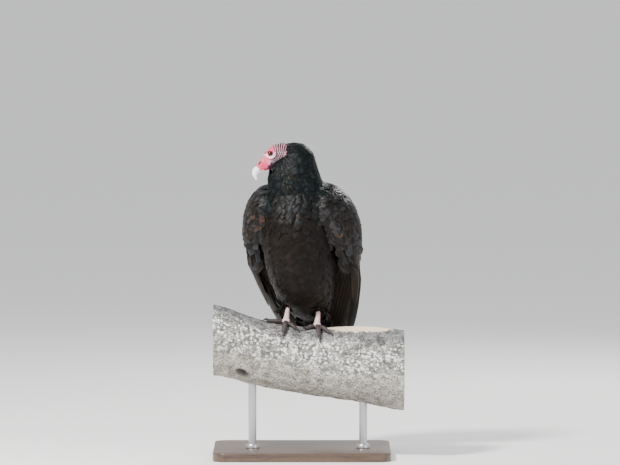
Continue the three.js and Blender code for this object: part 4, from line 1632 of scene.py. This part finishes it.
def make_bill():
    meshes = [smoothed(remeshed(mesh_from(copied((name,)), name), 0.0006), 14)
              for name in ("bill_upper", "bill_lower")]
    # The lower half closes up under the upper one, and is a little shorter than the solid
    hinge, shorter, raised = 34, 0.86, 3.0
    lower = into(HEAD, positions(meshes[1]))
    lower[:, 2] += raised
    lower[:, 0] = hinge + shorter * (lower[:, 0] - hinge)
    move(meshes[1], out_of(HEAD, lower))
    mesh = joined(meshes, "bill")
    head = into(HEAD, positions(mesh))
    paint(mesh, "Base", 1 - soft(head[:, 0], 38, 47))
    s = Shader("bill_horn")
    base = s.attribute("Base")
    place = s.place()
    grain = s.noise(s.mapped(place, (60, 60, 400), rotation=(0, 0.6, 0.5)), 1.0, detail=3)
    cloud = s.noise(place, 90.0, detail=2)
    tone = s.mix(cloud.step(0.35, 0.7) * 0.4, tuple(settings("hard").horn), (0.85, 0.77, 0.86))
    tone = s.mix(base * 0.45, tone, (0.84, 0.50, 0.52))
    tone = s.mix(grain.step(0.55, 0.75) * 0.12, tone, (0.66, 0.58, 0.56))
    s.finish(Base_Color=tone, Roughness=0.30 + 0.15 * grain, Specular_IOR_Level=0.5,
             Subsurface_Weight=0.1, Subsurface_Radius=(0.8, 0.6, 0.5), Subsurface_Scale=0.002,
             Normal=s.bump(grain, 0.25, 0.0003))
    shown(mesh, "bill", s.material, replaces=("bill_upper", "bill_lower"))


def make_eyes():
    s = Shader("eye_glass")
    ring = s.attribute("Gaze")
    place = s.place()
    fleck = s.noise(place, 1400.0, detail=2)
    iris = tuple(settings("hard").iris)
    tone = s.mix(ring.step(2.05, 2.45), (0.002, 0.002, 0.002), iris)
    tone = s.mix(fleck.step(0.4, 0.7) * 0.4 * ring.step(2.2, 2.6), tone, (0.16, 0.05, 0.03))
    tone = s.mix(ring.step(4.1, 4.7), tone, (0.03, 0.012, 0.012))
    s.finish(Base_Color=tone, Roughness=0.12, Specular_IOR_Level=0.08, Coat_Weight=0.22,
             Coat_Roughness=0.02)
    for side, sign in (("left", 1), ("right", -1)):
        ball = bmesh.new()
        bmesh.ops.create_uvsphere(ball, u_segments=48, v_segments=36, radius=EYE_RADIUS * MM)
        bmesh.ops.rotate(ball, verts=ball.verts, matrix=turn("X", -90 * sign).to_3x3())
        mesh = mesh_from(ball, f"eye_{side}")
        points = positions(mesh) / MM
        out = np.hypot(points[:, 0], points[:, 2])
        front = points[:, 1] * sign > 0
        paint(mesh, "Gaze", np.where(front, out, 9.0))
        points[:, 1] += sign * np.where(front, 0.55 * (1 - soft(out, 1.5, 4.6)), 0)
        points += (EYE_X, sign * EYE_OUT, EYE_Z)
        move(mesh, out_of(HEAD, points))
        shown(mesh, f"{side}_eye", s.material, replaces=(f"eye_{side}",))


def make_claws():
    mesh = joined([smoothed(remeshed(mesh_from(copied((name,)), name), 0.00055), 8)
                   for name in CLAW_NODES], "claws")
    s = Shader("claw_horn")
    place = s.place()
    streak = s.noise(s.mapped(place, (500, 120, 120)), 1.0, detail=3)
    tone = s.mix(streak.step(0.45, 0.75) * 0.6, tuple(settings("hard").claw), (0.07, 0.06, 0.055))
    s.finish(Base_Color=tone, Roughness=0.32 + 0.2 * streak, Specular_IOR_Level=0.5,
             Normal=s.bump(streak, 0.3, 0.0003))
    shown(mesh, "claws", s.material, replaces=CLAW_NODES)


# ---------------------------------------------------------------- limb and stand

# Along the limb in mm, and round it from its top in radians: the peeled wood and the knot. The
# heart is the rings' middle, in metres.
PEELED_X = 128.0
KNOT_X, KNOT_ANGLE = -134.0, 2.3
HEART_Y, HEART_Z = -0.045, 0.214


def bare_wood(x, angle):
    """The peeled wood along the limb's top, right of the feet: 0 on bark, 1 on wood."""
    along = np.clip(1 - ((x - PEELED_X) / 84) ** 2, 0, 1) ** 0.5
    return along * hump(angle, -0.02, 0.42)


def limb_surface(x, angle, lift):
    """A point of the bark, as part of the packed shape: the angle is zero on top and grows
    towards the bird's front."""
    t = (x - LIMB_LEFT) / (LIMB_RIGHT - LIMB_LEFT)
    swell = 9 * np.clip(1 - ((x - PEELED_X) / 86) ** 2, 0, None) * hump(angle, -0.25, 0.42)
    reach = catmull(LIMB_RADII, t) + swell + lift
    return np.stack([x, LIMB_Y - np.sin(angle) * reach,
                     catmull(LIMB_HEIGHTS, t) + np.cos(angle) * reach], -1)


def limb_lift(x, angle):
    """How far the bark stands off the packed shape in mm, the peeled part and the knot."""
    shell = limb_surface(x, angle, 0 * x)
    rough = wobble(shell, 26, 2.0, 3)
    grit = wobble(shell * np.array((0.55, 1, 1)), 5.5, 4.0, 3)
    fine = wobble(shell, 1.8, 6.0, 2)
    peeled = soft(bare_wood(x, angle) + 0.22 * wobble(shell, 9, 9.0, 3), 0.42, 0.52)
    knot = np.hypot((x - KNOT_X) / 15, (angle - KNOT_ANGLE) * 75 / 11)
    lift = 1.4 * rough + 1.0 * grit + 0.35 * fine - 0.8
    lift = lift * (1 - peeled) + peeled * (-1.9 + 0.25 * rough)
    lift += 2.6 * hump(knot, 1.05, 0.28) - 6.0 * hump(knot, 0, 0.7)
    # Under the toes the bark is smoother, and high enough for them to rest on it
    from_foot = np.minimum(*(np.abs(x - foot) for foot in FOOT_X.values()))
    feet = hump(from_foot, 0, 52, 4) * hump(angle, 0.25, 0.95, 4)
    lift = lift * (1 - feet) + feet * np.clip(lift + 1.4, 0.3, 1.3)
    return lift, peeled, hump(knot, 0, 1.1, 4)


def make_limb():
    # Steps along the limb and round it, and the rings that close each sawn end
    rows, around, rings = 230, 210, 14
    total = rows + 2 * rings
    bm = bmesh.new()
    bmesh.ops.create_grid(bm, x_segments=total, y_segments=around, size=1.0)
    mesh = mesh_from(bm, "limb")
    flat = positions(mesh)
    row = np.rint((flat[:, 0] + 1) / 2 * total)
    angle = flat[:, 1] * math.pi
    t = np.clip((row - rings) / rows, 0, 1)
    x = LIMB_LEFT + t * (LIMB_RIGHT - LIMB_LEFT)
    end = np.clip(np.minimum(row, total - row) / rings, 0, 1)
    lift, peeled, knot = limb_lift(x, angle)
    shell = limb_surface(x, angle, lift)
    middle = np.stack([x, np.full(len(x), LIMB_Y), catmull(LIMB_HEIGHTS, t)], 1)
    reach = end ** 0.9 * (1 - 0.012 * (1 - end) ** 0.3)
    points = middle + (shell - middle) * reach[:, None]
    points[:, 0] += 0.25 * wobble(points, 4.0, 3.3, 2) * (end < 1)
    move(mesh, points * MM)
    for name, values in (("Cut", end < 0.985), ("Bare", peeled), ("Knot", knot),
                         ("Turn", np.abs(angle))):
        paint(mesh, name, values)
    bm = bmesh.new()
    bm.from_mesh(mesh)
    bmesh.ops.remove_doubles(bm, verts=bm.verts, dist=2e-5)
    bmesh.ops.recalc_face_normals(bm, faces=bm.faces)
    bm.to_mesh(mesh)
    bm.free()
    shown(mesh, "perch", bark_material(), replaces=("perch_limb",))


# Tones of the bark that go with the settings: pairs run from the darker to the lighter. The pits, the
# knot's hole and the sawn end's cracks are darkened partly in their own colour and partly with
# painted shade in their hollows.
SLATE = (0.055, 0.056, 0.062), (0.175, 0.175, 0.182)
FAWN = (0.27, 0.245, 0.20), (0.50, 0.475, 0.41)
BARK_PIT_SHADE, GRIT, SPLIT = (0.055, 0.048, 0.042), (0.70, 0.70, 0.67), (0.045, 0.040, 0.038)
PALE_WOOD, BROWN_STREAK, KNOT_HOLE_SHADE = (0.84, 0.70, 0.55), (0.30, 0.19, 0.11), (0.025, 0.020, 0.018)
EARLY_WOOD, LATE_WOOD = (0.52, 0.39, 0.26), (0.40, 0.285, 0.18)
SAWN_STAIN, SAWN_RIM, SAWN_CRACK_SHADE = (0.34, 0.26, 0.19), (0.20, 0.15, 0.11), (0.07, 0.045, 0.03)


def sawn_end(s, place, big, mid):
    """Rings and cracks round the limb's heart: their colour, the rings and the cracks."""
    _, y, z = s.split(place)
    dy, dz = y - HEART_Y, z - HEART_Z
    angle = s.node("ShaderNodeMath", {"operation": "ARCTAN2"}, {0: dz, 1: dy})
    bent = s.noise(place, 22.0, detail=3) * 0.010 + big * 0.012
    rings = (dy * dy + dz * dz) ** 0.5 + bent
    late = s.noise(s.join(rings * 420.0, 0.0), 1.0, detail=2.0)
    ring = late.step(0.42, 0.62)
    tone = s.mix(ring, EARLY_WOOD, LATE_WOOD)
    tone = s.mix(mid.step(0.4, 0.7) * 0.5, tone, SAWN_STAIN)
    split = s.noise(s.join(angle * 3.4, rings * 3.0), 1.0, detail=2, rough=0.5)
    crack = (1 - (split - 0.5).abs().step(0.002, 0.009)) * rings.step(0.020, 0.050)
    # Dark cracks: the wood's own colour, with painted shade in the grooves that the bump cuts
    tone = s.mix(crack * 0.6, tone, SAWN_CRACK_SHADE)
    return s.mix(rings.step(0.076, 0.090) * 0.6, tone, SAWN_RIM), ring, crack


def lichen_cover(s, place, mid, band):
    """Where lichen covers the bark: round spots, and flecks between them."""
    shift = s.node("ShaderNodeTexNoise", None, {"Vector": place, "Scale": 45.0, "Detail": 3.0},
                   output="Color")
    warp = s.node("ShaderNodeVectorMath", {"operation": "MULTIPLY_ADD"},
                  {0: shift, 1: (0.010, 0.010, 0.010), 2: place})
    crust, flakes = s.cells(warp, 120.0), s.cells(warp, 230.0)
    colonies = s.noise(place, 26.0, detail=4, rough=0.6)
    spots = (1 - crust.step(0.34, 0.52)) * colonies.step(0.38, 0.50) * (0.10 + 0.90 * band)
    flecks = (1 - flakes.step(0.25, 0.50)) * mid.step(0.42, 0.58) * (0.25 + 0.55 * band)
    both = spots + flecks
    return both.math("MINIMUM", both, 1.0)


def bark_material():
    tones = settings("stand")
    s = Shader("limb_bark")
    place = s.place()
    cut, bare, knot = s.attribute("Cut"), s.attribute("Bare"), s.attribute("Knot")
    big = s.noise(place, 9.0, detail=4)
    mid = s.noise(place, 60.0, detail=5, rough=0.65)
    fine = s.noise(place, 240.0, detail=4, rough=0.7)
    grit = s.noise(place, 520.0, detail=3, rough=0.7)
    streak = s.noise(s.mapped(place, (14, 90, 90)), 1.0, detail=4)
    # Slate-grey above, a broad band of white lichen spots, and smoother fawn bark below
    turned = s.attribute("Turn") + (big - 0.5) * 0.9
    above = 1 - turned.step(0.55, 0.95)
    beneath = turned.step(1.35, 2.05)
    tone = tuple(tones.bark)
    bark = s.mix(mid.step(0.36, 0.62), scaled(tone, 0.42), scaled(tone, 1.2))
    bark = s.mix(above * 0.85, bark, s.mix(mid.step(0.38, 0.62), *SLATE))
    bark = s.mix(beneath * 0.8, bark, s.mix(mid.step(0.32, 0.68), *FAWN))
    lichen = lichen_cover(s, place, mid, (1 - above) * (1 - beneath))
    bark = s.mix(lichen * 0.95, bark, tuple(tones.lichen))
    # Darker pits where the fine noise sinks the bump: the bark's own darker hollows, with painted
    # shade in them
    bark = s.mix((1 - fine.step(0.38, 0.50)) * 0.7, bark, BARK_PIT_SHADE)
    bark = s.mix(grit.step(0.54, 0.68) * 0.4, bark, GRIT)
    split = (1 - (streak - 0.5).abs().step(0.004, 0.014)) * (1 - beneath * 0.6)
    bark = s.mix(split * 0.75, bark, SPLIT)
    wood = s.mix(streak.step(0.35, 0.7), tuple(tones.bare), PALE_WOOD)
    wood = s.mix(streak.step(0.62, 0.72) * 0.5, wood, BROWN_STREAK)
    bark = s.mix(bare, bark, wood)
    # The knot's dark heart, with painted shade in its hollow
    bark = s.mix(knot * mid.step(0.25, 0.5) * 0.95, bark, KNOT_HOLE_SHADE)
    end, ring, crack = sawn_end(s, place, big, mid)
    height = mid * 0.8 + fine * 0.9 + lichen * 0.5
    height = height * (1 - bare * 0.8) + streak * bare * 0.6
    height = height * (1 - cut * 0.85) + cut * (ring * 0.1 - crack * 0.5)
    return s.finish(Base_Color=s.mix(cut, bark, end), Roughness=0.9 - 0.25 * bare - 0.1 * cut,
                    Specular_IOR_Level=0.3, Normal=s.bump(height, 0.9, 0.002))


def make_base():
    lo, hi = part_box("stand_base")
    bm = bmesh.new()
    bmesh.ops.create_cube(bm, size=1.0)
    bmesh.ops.scale(bm, verts=bm.verts, vec=hi - lo)
    bmesh.ops.translate(bm, verts=bm.verts, vec=(lo + hi) / 2)

    def rounded(chosen, radius, segments):
        edges = [e for e in bm.edges if chosen([v.co.z for v in e.verts])]
        bmesh.ops.bevel(bm, geom=edges, offset=radius, segments=segments, affect="EDGES",
                        profile=0.5, material=-1)

    rounded(lambda z: abs(z[0] - z[1]) > 0.01, 0.030, 12)
    rounded(lambda z: min(z) > hi.z - 1e-5, 0.003, 4)
    rounded(lambda z: max(z) < lo.z + 1e-5, 0.001, 2)
    stain = tuple(settings("stand").base)
    s = Shader("base_wood")
    place = s.place()
    grain = s.noise(s.mapped(place, (6, 120, 120)), 1.0, detail=5, rough=0.6, warp=0.6)
    pores = s.noise(s.mapped(place, (60, 900, 900)), 1.0, detail=2)
    tone = s.mix(grain.step(0.3, 0.7), stain, scaled(stain, 2.0))
    tone = s.mix((1 - pores.step(0.3, 0.5)) * 0.5, tone, (0.015, 0.009, 0.006))
    s.finish(Base_Color=tone, Roughness=0.34 + 0.16 * grain, Specular_IOR_Level=0.5,
             Coat_Weight=0.25, Coat_Roughness=0.25, Normal=s.bump(grain + pores, 0.25, 0.0004))
    mesh = mesh_from(bm, "base")
    shown(mesh, "stand_board", s.material, replaces=("stand_base",))
    mesh.set_sharp_from_angle(angle=math.radians(35))


# A rod's collar from top to bottom: how far it stands out from the rod, and its height in metres
COLLAR = ((0, 0.0095), (0.0004, 0.0092), (0.0058, 0.0085), (0.007, 0.0065), (0.007, 0.0006),
          (0.0064, 0))


def make_rods():
    s = Shader("rod_steel")
    brush = s.noise(s.mapped(s.place(), (900, 900, 12)), 1.0, detail=3)
    s.finish(Base_Color=tuple(settings("stand").steel), Metallic=1.0,
             Roughness=0.26 + 0.2 * brush, Normal=s.bump(brush, 0.15, 0.0002))
    for side in SIDES:
        node = f"stand_rod_{side}"
        lo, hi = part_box(node)
        radius = (hi.x - lo.x) / 2
        bm = bmesh.new()
        outline = [(0, hi.z), (radius, hi.z), *((radius + out, lo.z + high) for out, high in COLLAR),
                   (0, lo.z)]
        ring = [bm.verts.new((out, 0, z)) for out, z in outline]
        edges = [bm.edges.new(pair) for pair in zip(ring, ring[1:])]
        bmesh.ops.spin(bm, geom=ring + edges, cent=(0, 0, 0), axis=(0, 0, 1),
                       angle=2 * math.pi, steps=48, use_merge=True)
        bmesh.ops.remove_doubles(bm, verts=bm.verts, dist=1e-6)
        bmesh.ops.recalc_face_normals(bm, faces=bm.faces)
        bmesh.ops.translate(bm, verts=bm.verts,
                            vec=Vector(((lo.x + hi.x) / 2, LIMB_Y * MM, 0)))
        mesh = mesh_from(bm, node)
        shown(mesh, f"stand_post_{side}", s.material, replaces=(node,))
        mesh.set_sharp_from_angle(angle=math.radians(40))


def make_stand():
    make_base()
    make_rods()


# ---------------------------------------------------------------- studio

# How wide the view is at the model, in metres, the sensor's width and the lens, in mm, how far
# the camera looks down, in degrees, and the place that it looks at
FRAME_WIDTH, SENSOR, LENS = 1.395, 36.0, 300.0
CAMERA_TILT = 3.0
AIM = (0.018, -0.06, 0.509)


# Each light's name, place, width, power and colour, and the place that all of them face
LIGHTS = (
    ("key", (-1.5, -1.9, 2.5), 0.5, 205, (1.0, 0.98, 0.95)),
    ("fill", (2.4, -2.2, 1.2), 1.6, 24, (0.94, 0.97, 1.0)),
    ("back", (1.2, 2.4, 2.2), 1.2, 60, (1.0, 0.99, 0.97)),
)
LIT = Vector((0, -0.03, 0.45))


def add_light(name, place, side, watts, tone):
    """A round lamp that faces the model's middle."""
    light = bpy.data.lights.new(name, "AREA")
    light.shape, light.size, light.energy, light.color = "DISK", side, watts, tone
    lamp = bpy.data.objects.new(name, light)
    lamp.location = place
    lamp.rotation_euler = (LIT - Vector(place)).to_track_quat("-Z", "Y").to_euler()
    bpy.context.scene.collection.objects.link(lamp)


def add_camera(scene):
    camera = bpy.data.cameras.new("camera")
    camera.lens, camera.sensor_width = LENS, SENSOR
    camera.clip_start, camera.clip_end = 0.1, 4000.0
    view = bpy.data.objects.new("camera", camera)
    tilt = math.radians(CAMERA_TILT)
    away = FRAME_WIDTH * LENS / SENSOR
    view.location = Vector(AIM) + Vector((0, -math.cos(tilt), math.sin(tilt))) * away
    view.rotation_euler = (math.pi / 2 - tilt, 0, 0)
    scene.collection.objects.link(view)
    scene.camera = view


def add_floor(scene):
    bm = bmesh.new()
    bmesh.ops.create_grid(bm, x_segments=1, y_segments=1, size=1500.0)
    s = Shader("studio_floor")
    shade = s.noise(s.place(), 3.0, detail=2)
    tone = tuple(settings("stand").floor)
    s.finish(Base_Color=s.mix(shade * 0.2, tone, scaled(tone, 0.97)), Roughness=0.85,
             Specular_IOR_Level=0.2)
    mesh = mesh_from(bm, "floor")
    mesh.materials.append(s.material)
    floor = bpy.data.objects.new("floor", mesh)
    scene.collection.objects.link(floor)
    floor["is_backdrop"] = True


def make_studio():
    scene = bpy.context.scene
    add_camera(scene)
    add_floor(scene)
    world = bpy.data.worlds.new("studio")
    world.use_nodes = True
    background = world.node_tree.nodes["Background"]
    background.inputs["Color"].default_value = (0.95, 0.96, 0.97, 1)
    background.inputs["Strength"].default_value = 0.9
    scene.world = world
    for light in LIGHTS:
        add_light(*light)


# ---------------------------------------------------------------- operators and panel

def operator(name, label, text, make):
    """One operator that makes one piece or one group of like pieces."""
    def execute(self, context):
        make()
        return {"FINISHED"}
    return type(f"VULTURE_OT_{name}", (bpy.types.Operator,), {
        "bl_idname": f"vulture.{name}", "bl_label": label, "__doc__": text, "execute": execute})


OPERATORS = (
    operator("studio", "Studio", "Adds the floor, the lights and the camera", make_studio),
    operator("stand", "Stand", "Adds the base board and its two rods", make_stand),
    operator("limb", "Limb", "Adds the cut length of limb", make_limb),
    operator("skin", "Skin", "Adds one skin for head, body, legs and toes", make_skin),
    operator("bill", "Bill", "Adds the horn of the bill", make_bill),
    operator("eyes", "Eyes", "Adds both eyes", make_eyes),
    operator("claws", "Claws", "Adds the eight claws", make_claws),
    operator("ruff", "Ruff", "Adds the feathers round the neck", make_ruff),
    operator("breast", "Breast", "Adds the feathers of breast and belly", make_breast),
    operator("back", "Back", "Adds the feathers of the back", make_back),
    operator("thighs", "Thighs", "Adds the feathers of the thighs", make_thighs),
    operator("coverts", "Wing coverts", "Adds the small and large wing coverts", make_coverts),
    operator("flight", "Flight feathers", "Adds the long feathers of both wings", make_flight),
    operator("tail", "Tail", "Adds the tail's feathers", make_tail),
)


class VULTURE_PT_panel(bpy.types.Panel):
    """Settings and pieces of the vulture."""

    bl_label = "Vulture"
    bl_idname = "VULTURE_PT_panel"
    bl_space_type = "VIEW_3D"
    bl_region_type = "UI"
    bl_category = "Vulture"

    def draw(self, context):
        for group in GROUPS:
            box = self.layout.box()
            name = group_name(group)
            box.label(text=name.capitalize())
            for key in group.__annotations__:
                box.prop(settings(name), key)
        for made in OPERATORS:
            self.layout.operator(made.bl_idname)


CLASSES = (*GROUPS, *OPERATORS, VULTURE_PT_panel)


def register():
    for each in CLASSES:
        bpy.utils.register_class(each)
    for group in GROUPS:
        pointer = bpy.props.PointerProperty(type=group)
        setattr(bpy.types.Scene, f"vulture_{group_name(group)}", pointer)


def unregister():
    for group in GROUPS:
        delattr(bpy.types.Scene, f"vulture_{group_name(group)}")
    for each in reversed(CLASSES):
        bpy.utils.unregister_class(each)


def main():
    register()
    for made in OPERATORS:
        group, name = made.bl_idname.split(".")
        getattr(getattr(bpy.ops, group), name)()
    bpy.data.meshes.remove(SHARED.pop(("coat_form",)))
    boxes = [[list(corner) for corner in box] for box in (CAD_BOX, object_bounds())]


if __name__ == "__main__":
    main()
